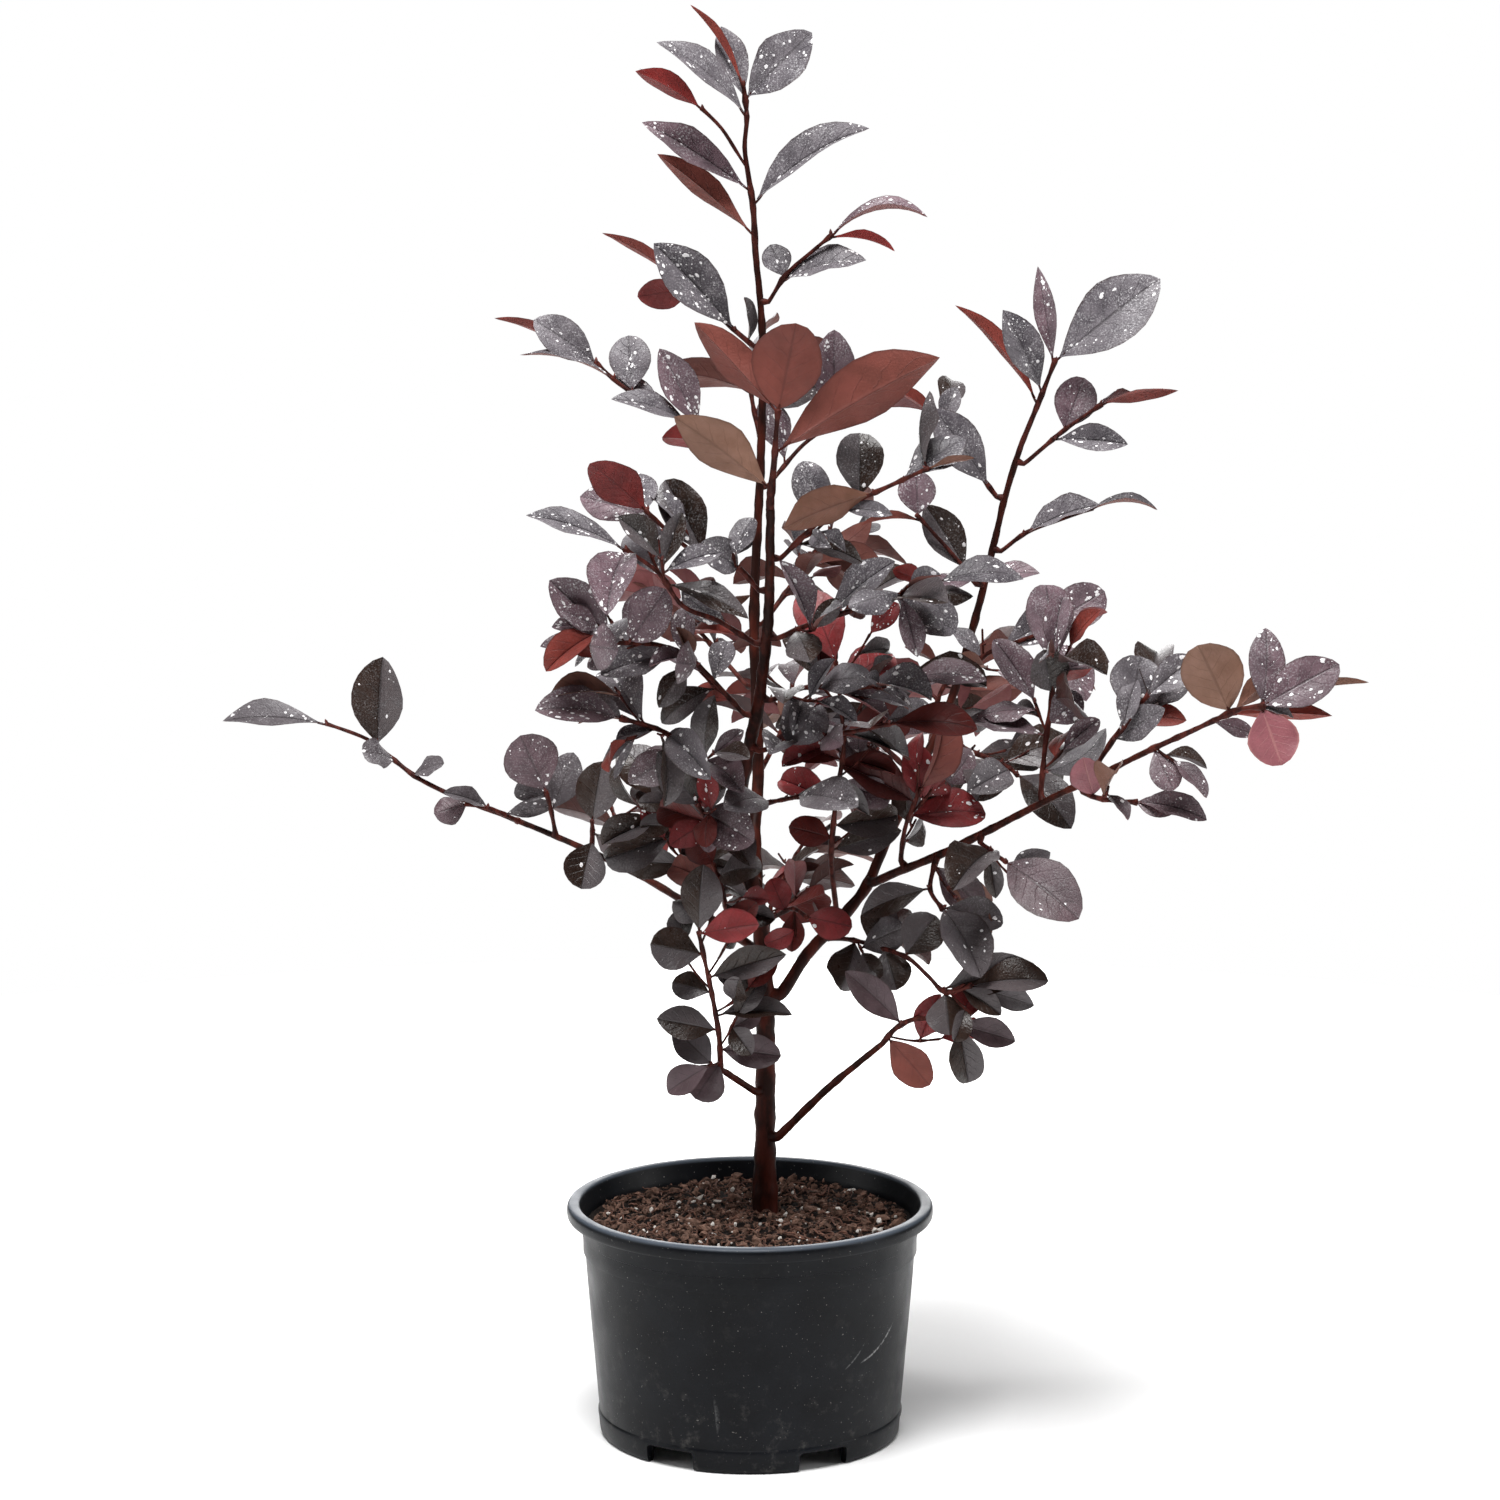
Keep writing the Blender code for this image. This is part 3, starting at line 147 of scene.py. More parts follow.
# Every limb is a run of legs, each with its heading, rise and length.
LIMBS = (
    Limb("trunk", None, 0.0, (FOOT_X, FOOT_Y, SOIL_TOP + GAP),
         ((0, 90, 37), (-90, 88, 61), (180, 86, 46), (-133, 69, 29), (-100, 66, 25), (-72, 64, 29),
          (-72, 58, 30), (-80, 59, 45), (-87, 59, 33), (-90, 57, 31)),
         5.1, 1.9, 8),
    Limb("bough_rear", "trunk", 0.422, None,
         ((93, 57, 33), (81, 63, 27), (99, 81, 75), (53, 86, 71), (-81, 84, 56), (-117, 80, 40)),
         3.3, 1.5, 8),
    Limb("bough_right", "trunk", 0.280, None,
         ((6, 56, 18), (8, 57, 13), (13, 44, 19), (21, 47, 20), (36, 60, 28), (35, 57, 23),
          (29, 62, 22), (24, 64, 28), (21, 73, 47), (-10, 77, 48), (-36, 71, 24)),
         3.1, 1.4, 8),
    Limb("bough_far_right", "bough_right", 0.245, None,
         ((-49, 24, 22), (-49, 23, 36), (-45, 27, 67), (-50, 25, 33), (-42, 27, 31)),
         2.2, 1.3, 7),
    Limb("bough_left", "trunk", 0.342, None,
         ((140, 22, 37), (141, 19, 47), (145, 15, 54), (153, 15, 49)),
         2.1, 1.3, 7),
    Limb("bough_low_right", "trunk", 0.098, None,
         ((-39, 43, 48), (-44, 38, 40)),
         2.2, 1.4, 7),
    Limb("bough_low_left", "trunk", 0.158, None,
         ((-129, 31, 34),),
         1.9, 1.4, 7),
)

# Every shoot carries one mass of leaves. It is named for its place in the crown.
# at: how far along its limb it stands. turn: the angle of its first leaf around the twig.
# face: where the blades look, as a heading and a strength against straight up.
# bare: the share of the twig below the first leaf. tip: how far its last leaf leans off the twig.
# side: at, legs and leaves of each side twig.
FRONT = (-90, 1.0)
FRONT_FLAT = (-90, 0.5)
FRONT_STEEP = (-90, 1.8)
BACK = (90, 0.8)
UNDER = (90, 1.6)
SHOOTS = (
    Shoot("leaves_front_top", "trunk", 1.0, ((-83, 54, 24), (-81, 68, 14), (-80, 66, 9)),
          0, 70, 0.50, 0, UNDER, 0.0, "under", 61, 46),
    Shoot("leaves_top", "bough_rear", 1.0, ((-104, 78, 20), (-153, 81, 28), (-63, 81, 14), (-117, 76, 16)),
          0, 50, 0.48, 180, FRONT, 0.0, "slate", 5, 30,
          ((0.50, ((-145, 52, 24), (-156, 42, 13)), 0),)),
    Shoot("leaves_upper_right", "bough_rear", 0.93, ((-32, 53, 16), (-13, 40, 28)),
          0, 45, 0.44, 20, FRONT, 0.3, "slate", 52),
    Shoot("leaves_upper_left", "bough_rear", 0.86, ((176, 40, 20), (172, 42, 22)),
          0, 54, 0.42, 10, FRONT, 0.3, "slate", 3),
    Shoot("leaves_rear_left", "bough_rear", 0.67, ((-174, 36, 34), (174, 28, 36), (175, 41, 18)),
          0, 48, 0.46, 0, FRONT_FLAT, 0.25, "slate", 4),
    Shoot("leaves_rear_right", "bough_rear", 0.64, ((35, 42, 28), (20, 31, 24)),
          2, 46, 0.48, 10, FRONT_FLAT, 0.3, "mauve", 5),
    Shoot("leaves_right_top", "bough_right", 1.0, ((-32, 66, 23), (-36, 66, 21)),
          0, 56, 0.46, 170, FRONT, 0.35, "slate", 6),
    Shoot("leaves_right_sprig", "bough_right", 0.98, ((-18, 40, 25), (-14, 35, 21)),
          0, 40, 0.46, 0, FRONT_FLAT, 0.35, "mauve", 7),
    Shoot("leaves_right_upper", "bough_right", 0.915, ((170, 53, 20), (170, 52, 25)),
          1, 40, 0.42, 0, FRONT, 0.55, "dark", 8, 60),
    Shoot("leaves_right_outer", "bough_right", 0.83, ((-15, 37, 15), (-12, 21, 33)),
          0, 48, 0.42, 0, FRONT_FLAT, 0.4, "slate", 9),
    Shoot("leaves_right_inner", "bough_right", 0.77, ((-145, 45, 20), (-150, 44, 28)),
          0, 46, 0.46, 0, FRONT, 0.3, "mauve", 10),
    Shoot("leaves_right_mid", "bough_right", 0.62, ((-45, 38, 18), (-24, 22, 32)),
          1, 48, 0.50, 180, FRONT, 0.2, "mauve", 11, 70),
    Shoot("leaves_far_tip", "bough_far_right", 1.0, ((-45, 25, 26), (-35, 26, 24), (-20, 8, 10)),
          1, 44, 0.50, 0, FRONT, 0.3, "mauve", 12, 60),
    Shoot("leaves_far_up", "bough_far_right", 0.64, ((45, 83, 22), (53, 77, 23), (76, 71, 13)),
          4, 42, 0.56, 0, FRONT, 0.2, "mauve", 13),
    Shoot("leaves_far_rise", "bough_far_right", 0.84, ((-35, 56, 22), (-20, 52, 19)),
          1, 44, 0.52, 90, FRONT, 0.3, "slate", 14, 60),
    Shoot("leaves_far_low", "bough_far_right", 0.78, ((-55, -5, 14), (-30, 0, 16)),
          2, 40, 0.46, 40, FRONT_FLAT, 0.5, "mauve", 15),
    Shoot("leaves_far_hang", "bough_far_right", 0.42, ((-68, -11, 11), (-63, -12, 14)),
          2, 42, 0.62, 60, FRONT_STEEP, 0.5, "mauve", 16),
    Shoot("leaves_far_under", "bough_far_right", 0.26, ((-102, -38, 16), (-70, -23, 16)),
          2, 40, 0.56, 90, FRONT_STEEP, 0.5, "slate", 17),
    Shoot("leaves_far_inner", "bough_far_right", 0.14, ((-81, 57, 23), (-53, 60, 20)),
          5, 38, 0.60, 0, FRONT_STEEP, 0.3, "red", 18),
    Shoot("leaves_inner_right", "bough_right", 0.17,
          ((-99, 58, 38), (-78, 67, 37), (-76, 69, 23), (-124, 79, 36)),
          8, 35, 0.62, 0, FRONT_STEEP, 0.40, "red", 19),
    Shoot("leaves_front_right_high", "trunk", 0.924, ((-34, 40, 30), (-23, 26, 23), (-13, 25, 28)),
          1, 44, 0.44, 0, FRONT_FLAT, 0.2, "slate", 20, 70),
    Shoot("leaves_front_right_mid", "trunk", 0.806, ((-25, 24, 21), (-19, 18, 29), (-11, 20, 28)),
          4, 44, 0.46, 90, FRONT, 0.15, "slate", 21),
    Shoot("leaves_front_right_level", "trunk", 0.712, ((-30, 22, 18), (-17, 3, 27), (-9, 9, 20)),
          4, 42, 0.50, 90, FRONT, 0.2, "slate", 47),
    Shoot("leaves_front_right_low", "trunk", 0.636, ((-43, 16, 26), (-32, 13, 27), (-30, 14, 20)),
          6, 42, 0.50, 90, FRONT, 0.25, "dark", 22),
    Shoot("leaves_front_right_small", "trunk", 0.550, ((-58, 15, 23), (-55, 14, 20)),
          3, 44, 0.50, 90, FRONT, 0.5, "slate", 23),
    Shoot("leaves_mid_right_up", "bough_right", 0.435, ((-137, 39, 21), (-135, 28, 19), (-135, 16, 15)),
          6, 40, 0.54, 90, FRONT, 0.25, "mauve", 24),
    Shoot("leaves_mid_right_out", "bough_right", 0.51, ((-45, -14, 16), (-41, -13, 22), (-63, -15, 12)),
          6, 40, 0.56, 90, FRONT, 0.3, "dark", 25),
    Shoot("leaves_low_right", "bough_low_right", 1.0, ((-49, 44, 13), (-39, 25, 14), (-34, 0, 18)),
          0, 37, 0.62, 0, FRONT_STEEP, 0.0, "red", 26),
    Shoot("leaves_low_right_up", "bough_right", 0.13,
          ((-60, 8, 23), (-50, -4, 37), (-51, -24, 28), (-23, 18, 13)),
          2, 34, 0.64, 90, FRONT_STEEP, 0.25, "dark", 27),
    Shoot("leaves_fork_right", "trunk", 0.379, ((-56, 23, 23), (-55, -14, 11)),
          0, 32, 0.66, 90, FRONT_STEEP, 0.5, "red", 28),
    Shoot("leaves_low_left", "bough_low_left", 1.0, ((-94, 57, 24), (-117, 71, 20), (-127, 72, 32)),
          1, 30, 0.68, 0, FRONT_STEEP, 0.9, "dark", 29),
    Shoot("leaves_left_tip", "bough_left", 1.0, ((155, 21, 25), (158, 33, 31), (166, 18, 22)),
          0, 49, 0.48, 0, FRONT, 0.2, "dark", 30, 4),
    Shoot("leaves_left_mid", "bough_left", 0.70, ((-108, 64, 14), (-117, 61, 9)),
          0, 38, 0.66, 0, FRONT_STEEP, 0.5, "mauve", 31),
    Shoot("leaves_left_fork", "bough_left", 0.82, ((-151, 26, 14), (-162, 13, 13)),
          0, 38, 0.52, 90, FRONT, 0.4, "mauve", 32),
    Shoot("leaves_left_inner", "bough_left", 0.575, ((-85, 60, 9), (-90, 55, 7)),
          0, 40, 0.60, 0, FRONT_STEEP, 0.4, "dark", 33),
    Shoot("leaves_left_rise", "bough_left", 0.20, ((-112, 57, 30), (-135, 59, 14), (-153, 74, 17)),
          6, 34, 0.62, 0, FRONT_STEEP, 0.3, "dark", 34),
    Shoot("leaves_left_near", "bough_left", 0.09, ((-99, 48, 27), (-112, 52, 18)),
          4, 32, 0.66, 0, FRONT_STEEP, 0.4, "red", 35),
    Shoot("leaves_left_red", "trunk", 0.507, ((-115, 21, 22), (-120, 41, 18)),
          5, 34, 0.62, 90, FRONT_STEEP, 0.3, "red", 36),
    Shoot("leaves_front_left_low", "trunk", 0.593, ((-132, 25, 33), (-133, 34, 20), (-151, 19, 22)),
          6, 42, 0.52, 90, FRONT, 0.15, "slate", 37),
    Shoot("leaves_front_left_mid", "trunk", 0.684, ((-143, 42, 42), (-150, 18, 25), (-156, 0, 24)),
          4, 42, 0.50, 90, FRONT, 0.12, "mauve", 38, 60),
    Shoot("leaves_front_left_high", "trunk", 0.796,
          ((-151, 31, 21), (-148, 23, 20), (-135, 47, 21), (-150, 34, 20)),
          4, 44, 0.50, 90, FRONT, 0.12, "slate", 39, 60),
    Shoot("leaves_front_left_crest", "trunk", 0.875, ((-149, 45, 14), (-153, 20, 23), (-164, 41, 29)),
          1, 44, 0.56, 90, FRONT, 0.15, "slate", 48, 60),
    Shoot("leaves_back_low", "trunk", 0.320, ((84, 34, 42), (70, 24, 50)),
          6, 37, 0.60, 90, BACK, 0.35, "dark", 40),
    Shoot("leaves_back_mid", "bough_rear", 0.201, ((70, 28, 38), (84, 24, 30)),
          7, 42, 0.54, 90, BACK, 0.3, "mauve", 41),
    Shoot("leaves_back_left", "bough_rear", 0.327, ((132, 34, 38), (118, 26, 38)),
          6, 44, 0.50, 90, BACK, 0.3, "slate", 42),
    Shoot("leaves_back_right", "bough_rear", 0.423, ((50, 38, 38), (62, 30, 34)),
          6, 45, 0.50, 90, BACK, 0.3, "slate", 43),
    Shoot("leaves_back_high", "bough_rear", 0.718, ((100, 40, 30), (84, 34, 26)),
          4, 48, 0.46, 90, BACK, 0.3, "slate", 44),
    Shoot("leaves_back_bough", "bough_right", 0.50, ((80, 30, 35), (66, 24, 32)),
          5, 42, 0.54, 90, BACK, 0.3, "mauve", 45),
    Shoot("leaves_back_outer", "bough_left", 0.53, ((84, 26, 22), (100, 20, 20)),
          4, 38, 0.58, 90, BACK, 0.3, "dark", 46),
)

# Leaves that show one by one at the edge of the crown. Their tones come first, in the order of the leaves.
# at: share of the twig below the joint. reach: from joint to tip, to the right, back and up.
# look: heading and rise of the upper side. twig: 0 for the stem, 1 for the first side twig.
FACING = (-90, 25)
TILTED = (-90, 50)
LEVEL = (-90, 72)
TURNED = (90, 25)
BELLY = (90, 52)
AIMS = {
    "leaves_front_top": (
        "brick brick brick tan",
        Aim(0.97, (8, -6, 38), 0.80, 15, TURNED), Aim(1.0, (-37, 6, 36), 0.38, 25, TURNED),
        Aim(0.6, (70, -4, 40), 0.40, 20, TURNED), Aim(0.2, (-41, -4, 32), 0.48, 12, TURNED)),
    "leaves_top": (
        "slate slate rust slate red slate mauve brick",
        Aim(0.9, (31, -6, 29), 0.58, 15, FACING), Aim(0.8, (-41, -8, 34), 0.36, 38, TILTED),
        Aim(1.0, (-24, 3, 36), 0.18, 24, (40, 33)), Aim(0.9, (-11, 14, 33), 0.44, 15, FACING),
        Aim(1.0, (-31, -2, 17), 0.40, 30, (90, 40), 1), Aim(0.3, (54, -5, 34), 0.38, 42, TILTED),
        Aim(0.38, (-51, 15, 31), 0.30, 25, FACING), Aim(0.12, (-48, -7, 43), 0.26, 20, TURNED)),
    "leaves_upper_right": (
        "slate mauve red slate",
        Aim(0.3, (39, -7, 10), 0.48, 40, TILTED), Aim(1.0, (46, 3, 8), 0.28, 75, LEVEL),
        Aim(0.96, (30, -8, -6), 0.28, 45, BELLY), Aim(0.35, (-6, 6, 15), 0.80, 30, FACING)),
    "leaves_upper_left": (
        "slate rust red dark",
        Aim(0.3, (-38, -10, 40), 0.50, 20, FACING), Aim(1.0, (-40, 2, 25), 0.20, 30, BELLY),
        Aim(0.93, (-25, 8, -3), 0.64, 20, TURNED), Aim(0.12, (-3, -9, 22), 0.55, 30, TILTED)),
    "leaves_rear_left": (
        "slate rust slate slate slate slate mauve red",
        Aim(0.98, (-30, -4, 20), 0.56, 30, FACING), Aim(1.0, (-48, 6, 21), 0.18, 30, BELLY),
        Aim(0.86, (-44, -14, 12), 0.26, 40, LEVEL), Aim(0.75, (-2, 9, 26), 0.76, 15, FACING),
        Aim(0.55, (-29, 16, 16), 0.34, 30, TILTED), Aim(0.42, (-36, -8, 11), 0.44, 35, TILTED),
        Aim(0.35, (-18, 4, 38), 0.46, 15, FACING), Aim(0.18, (-34, -12, 12), 0.58, 30, TURNED)),
    "leaves_rear_right": (
        "mauve slate",
        Aim(0.88, (1, 5, 44), 0.52, 20, FACING), Aim(1.0, (42, 5, 27), 0.40, 30, TILTED)),
    "leaves_right_top": (
        "slate mauve rust slate",
        Aim(1.0, (48, -5, 37), 0.52, 15, FACING), Aim(0.93, (-8, 4, 45), 0.24, 30, FACING),
        Aim(0.5, (-38, 7, 46), 0.20, 36, BELLY), Aim(0.62, (-18, -6, 39), 0.48, 20, FACING)),
    "leaves_right_sprig": (
        "mauve rust slate mauve",
        Aim(0.55, (10, 5, 24), 0.78, 15, FACING), Aim(1.0, (36, -4, 7), 0.28, 40, BELLY),
        Aim(0.42, (34, -7, -1), 0.46, 20, FACING), Aim(0.95, (22, 6, 11), 0.50, 40, TILTED)),
    "leaves_right_upper": (
        "slate rust slate",
        Aim(0.15, (-27, -7, 37), 0.48, 18, FACING), Aim(1.0, (-23, -3, 16), 0.32, 30, BELLY),
        Aim(0.93, (6, 5, 17), 0.60, 20, FACING)),
    "leaves_right_outer": (
        "slate slate",
        Aim(0.3, (35, -8, 15), 0.46, 28, TILTED), Aim(1.0, (32, 3, -1), 0.26, 55, LEVEL)),
    "leaves_right_inner": (
        "dark mauve brick mauve mauve",
        Aim(0.2, (-25, -8, 31), 0.54, 18, FACING), Aim(1.0, (-1, 2, 21), 0.88, 15, FACING),
        Aim(0.92, (-28, 5, -3), 0.28, 42, BELLY), Aim(0.05, (29, -12, 5), 0.42, 40, TILTED),
        Aim(0.08, (-20, -15, -1), 0.46, 35, TILTED)),
    "leaves_right_mid": (
        "slate mauve brown slate",
        Aim(0.5, (35, -4, 20), 0.50, 15, FACING), Aim(0.92, (30, 8, 19), 0.62, 20, FACING),
        Aim(1.0, (23, -3, -27), 0.20, 20, (20, 40)), Aim(0.3, (-14, 5, 14), 0.50, 35, TILTED)),
    "leaves_far_tip": (
        "mauve brown rust tan pink brown slate mauve mauve",
        Aim(1.0, (33, 5, 18), 0.58, 15, FACING), Aim(1.0, (47, 11, 8), 0.18, 30, BELLY),
        Aim(0.72, (50, -16, 14), 0.26, 30, (90, 40)), Aim(0.75, (-15, -7, 30), 0.82, 15, TURNED),
        Aim(1.0, (8, -7, -24), 0.88, 10, TURNED), Aim(0.77, (21, 2, 18), 0.46, 15, TURNED),
        Aim(0.94, (17, 4, -5), 0.44, 30, TILTED), Aim(0.6, (19, 6, -7), 0.44, 20, FACING),
        Aim(0.05, (8, -9, -17), 0.70, 20, FACING)),
    "leaves_far_up": (
        "dark red mauve",
        Aim(0.78, (-5, -5, 20), 0.95, 15, FACING), Aim(0.9, (18, 5, 5), 0.72, 20, TURNED),
        Aim(0.55, (14, -7, 14), 0.76, 20, FACING)),
    "leaves_far_rise": (
        "slate slate slate",
        Aim(0.7, (6, 6, 26), 0.95, 15, FACING), Aim(1.0, (21, 4, 17), 0.62, 15, FACING),
        Aim(0.4, (23, -9, 21), 0.54, 18, FACING)),
    "leaves_far_low": (
        "pink mauve",
        Aim(0.3, (-8, -8, 20), 0.85, 15, FACING), Aim(1.0, (17, -5, -4), 0.60, 25, FACING)),
    "leaves_far_hang": (
        "dark",
        Aim(0.4, (4, 3, -23), 0.46, 20, FACING),),
    "leaves_far_under": (
        "mauve slate",
        Aim(0.1, (22, -12, -18), 0.60, 20, FACING), Aim(1.0, (28, 2, -7), 0.62, 20, FACING)),
    "leaves_inner_right": (
        "wine dark",
        Aim(0.35, (-20, -4, 6), 0.72, 15, FACING), Aim(0.3, (32, -5, 10), 0.50, 15, FACING)),
    "leaves_front_right_high": (
        "slate brown dark slate brown slate dark",
        Aim(0.85, (27, 9, 17), 0.58, 20, TILTED), Aim(1.0, (25, -4, 2), 0.30, 25, BELLY),
        Aim(0.6, (0, 9, 28), 0.76, 30, FACING), Aim(0.48, (25, -9, 0), 0.38, 40, TILTED),
        Aim(0.7, (-40, -11, -15), 0.48, 25, TURNED), Aim(0.35, (-8, 9, 25), 0.66, 20, FACING),
        Aim(0.15, (29, 5, -10), 0.46, 45, TILTED)),
    "leaves_front_right_mid": (
        "slate slate red",
        Aim(0.75, (27, -6, -14), 0.72, 28, FACING), Aim(0.35, (30, -6, 25), 0.50, 30, TILTED),
        Aim(0.95, (-16, -8, 8), 0.52, 20, TURNED)),
    "leaves_front_right_level": (
        "slate mauve slate",
        Aim(0.38, (26, -6, 5), 0.72, 40, TILTED), Aim(1.0, (37, -4, 1), 0.44, 50, TILTED),
        Aim(0.15, (15, -12, -19), 0.86, 18, FACING)),
    "leaves_low_right_up": (
        "dark dark dark dark slate dark slate",
        Aim(0.35, (8, 5, 19), 0.85, 12, FACING), Aim(0.58, (14, 6, 18), 0.90, 12, FACING),
        Aim(0.45, (5, -10, -17), 0.95, 12, FACING), Aim(0.85, (41, -4, 12), 0.48, 15, FACING),
        Aim(1.0, (30, 11, -11), 0.42, 15, FACING), Aim(0.87, (2, -8, -18), 1.0, 12, FACING),
        Aim(0.9, (37, 17, 6), 0.32, 15, FACING)),
    "leaves_low_right": (
        "brick mauve mauve red",
        Aim(0.15, (19, -5, -21), 0.66, 12, TURNED), Aim(0.4, (-25, 4, 25), 0.48, 12, FACING),
        Aim(1.0, (29, 2, -9), 0.50, 15, FACING), Aim(0.9, (17, 7, -9), 0.66, 15, TURNED)),
    "leaves_low_left": (
        "mauve mauve dark dark dark dark dark red",
        Aim(0.08, (-12, -6, -15), 1.0, 12, FACING), Aim(0.2, (28, -5, -2), 0.62, 15, FACING),
        Aim(0.45, (35, -4, 2), 0.44, 30, TILTED), Aim(0.7, (35, -4, 12), 0.48, 15, FACING),
        Aim(0.85, (-24, -5, 5), 0.82, 12, FACING), Aim(0.6, (-18, 5, 4), 0.74, 15, FACING),
        Aim(0.35, (-28, -4, 6), 0.58, 15, FACING), Aim(1.0, (27, -5, 6), 0.64, 15, FACING)),
    "leaves_fork_right": (
        "red red wine",
        Aim(1.0, (21, -3, -4), 0.76, 12, FACING), Aim(0.5, (-7, 2, 15), 0.86, 12, FACING),
        Aim(0.7, (-1, -6, -19), 0.64, 15, FACING)),
    "leaves_left_tip": (
        "slate dark slate slate",
        Aim(1.0, (-53, 3, 1), 0.38, 30, TILTED), Aim(0.64, (3, -4, 45), 0.64, 10, FACING),
        Aim(0.5, (-15, -11, 6), 0.95, 25, TILTED), Aim(0.35, (16, -9, 7), 0.70, 25, TILTED)),
    "leaves_left_fork": (
        "mauve slate slate",
        Aim(1.0, (-16, -3, -4), 0.88, 15, FACING), Aim(0.6, (-21, -9, 9), 0.48, 30, TILTED),
        Aim(0.3, (28, -11, 9), 0.38, 35, TILTED)),
    "leaves_left_mid": (
        "mauve slate slate",
        Aim(1.0, (-12, -3, 28), 0.92, 10, FACING), Aim(0.5, (11, 5, 28), 0.62, 12, FACING),
        Aim(0.85, (-16, 6, 3), 0.72, 20, FACING)),
    "leaves_left_inner": (
        "dark dark dark",
        Aim(1.0, (5, -4, 30), 0.74, 12, FACING), Aim(0.3, (-5, -7, -23), 0.95, 12, FACING),
        Aim(0.6, (24, -11, -20), 0.52, 15, FACING)),
    "leaves_front_left_low": (
        "slate brown slate",
        Aim(1.0, (-15, 3, 10), 0.52, 35, TILTED), Aim(0.96, (-24, -4, 0), 0.22, 45, LEVEL),
        Aim(0.75, (-18, -7, -4), 0.52, 30, TILTED)),
    "leaves_front_left_mid": (
        "mauve mauve mauve slate",
        Aim(0.88, (-28, -4, 28), 0.58, 15, FACING), Aim(0.8, (17, -6, 24), 0.82, 15, FACING),
        Aim(1.0, (-23, -3, 0), 0.44, 42, TILTED), Aim(0.55, (-33, -9, -9), 0.52, 20, FACING)),
    "leaves_front_left_high": (
        "slate dark",
        Aim(1.0, (-44, 1, 15), 0.34, 34, TILTED), Aim(0.68, (36, -9, -14), 0.36, 40, TILTED)),
    "leaves_front_left_crest": (
        "red mauve slate dark slate",
        Aim(1.0, (-24, -9, 22), 0.64, 20, TURNED), Aim(0.9, (-34, 14, 9), 0.48, 28, FACING),
        Aim(0.24, (-17, -15, 12), 0.66, 20, FACING), Aim(0.5, (-17, 6, 33), 0.60, 25, FACING),
        Aim(0.3, (3, 9, 32), 0.74, 35, FACING)),
}


def bearing(heading, rise):
    """Unit direction from a heading and a rise in degrees."""
    turn = math.radians(heading)
    lift = math.radians(rise)
    return Vector((math.cos(lift) * math.cos(turn), math.cos(lift) * math.sin(turn), math.sin(lift)))


def across(vector, axis):
    """Unit part of a vector that is square to an axis."""
    flat = vector - axis * vector.dot(axis)
    return flat.normalized() if flat.length > 1e-5 else axis.orthogonal().normalized()


def walk(start, legs):
    """Points at the ends of a run of legs."""
    points = [Vector(start)]
    for heading, rise, length in legs:
        points.append(points[-1] + bearing(heading, rise) * length)
    return points


def smooth(points, spacing):
    """Even points on one smooth curve through a few given points."""
    curve = []
    last = len(points) - 1
    for index in range(last):
        before = points[max(index - 1, 0)]
        here = points[index]
        there = points[index + 1]
        after = points[min(index + 2, last)]
        count = max(1, round((there - here).length / spacing))
        for step in range(count):
            t = step / count
            curve.append(0.5 * (2 * here + (there - before) * t
                                + (2 * before - 5 * here + 4 * there - after) * t * t
                                + (3 * here - before - 3 * there + after) * t ** 3))
    curve.append(points[last])
    return curve


def tangents(centres):
    """Direction of travel at each point of a route."""
    last = len(centres) - 1
    return [(centres[min(i + 1, last)] - centres[max(i - 1, 0)]).normalized() for i in range(last + 1)]


def tube(centres, radii, sides, first_axis=None, first=0, last=None):
    """Vertices and faces of a closed round limb, or of its stretch between two of its rings."""
    axes = tangents(centres)
    if first_axis is not None:
        axes[0] = first_axis
    side = axes[0].orthogonal().normalized()
    last = len(centres) if last is None else last
    vertices = []
    for index, (centre, axis, radius) in enumerate(zip(centres, axes, radii)):
        if index:
            side = across(side, axis)
        if not first <= index < last:
            continue
        other = axis.cross(side)
        for corner in range(sides):
            angle = 2 * math.pi * corner / sides
            vertices.append(centre + (side * math.cos(angle) + other * math.sin(angle)) * radius)
    faces = [tuple(reversed(range(sides)))]
    for ring in range(last - first - 1):
        for corner in range(sides):
            low = ring * sides + corner
            low_next = ring * sides + (corner + 1) % sides
            faces.append((low, low_next, low_next + sides, low + sides))
    faces.append(tuple(range(len(vertices) - sides, len(vertices))))
    return vertices, faces


def along(centres, share):
    """Place and direction at a share of a route's length."""
    lengths = [(b - a).length for a, b in zip(centres, centres[1:])]
    left = share * sum(lengths)
    for index, length in enumerate(lengths):
        if left <= length or index == len(lengths) - 1:
            step = (centres[index + 1] - centres[index])
            return centres[index] + step * min(left / length, 1.0), step.normalized()
        left -= length
    return centres[-1], (centres[-1] - centres[-2]).normalized()


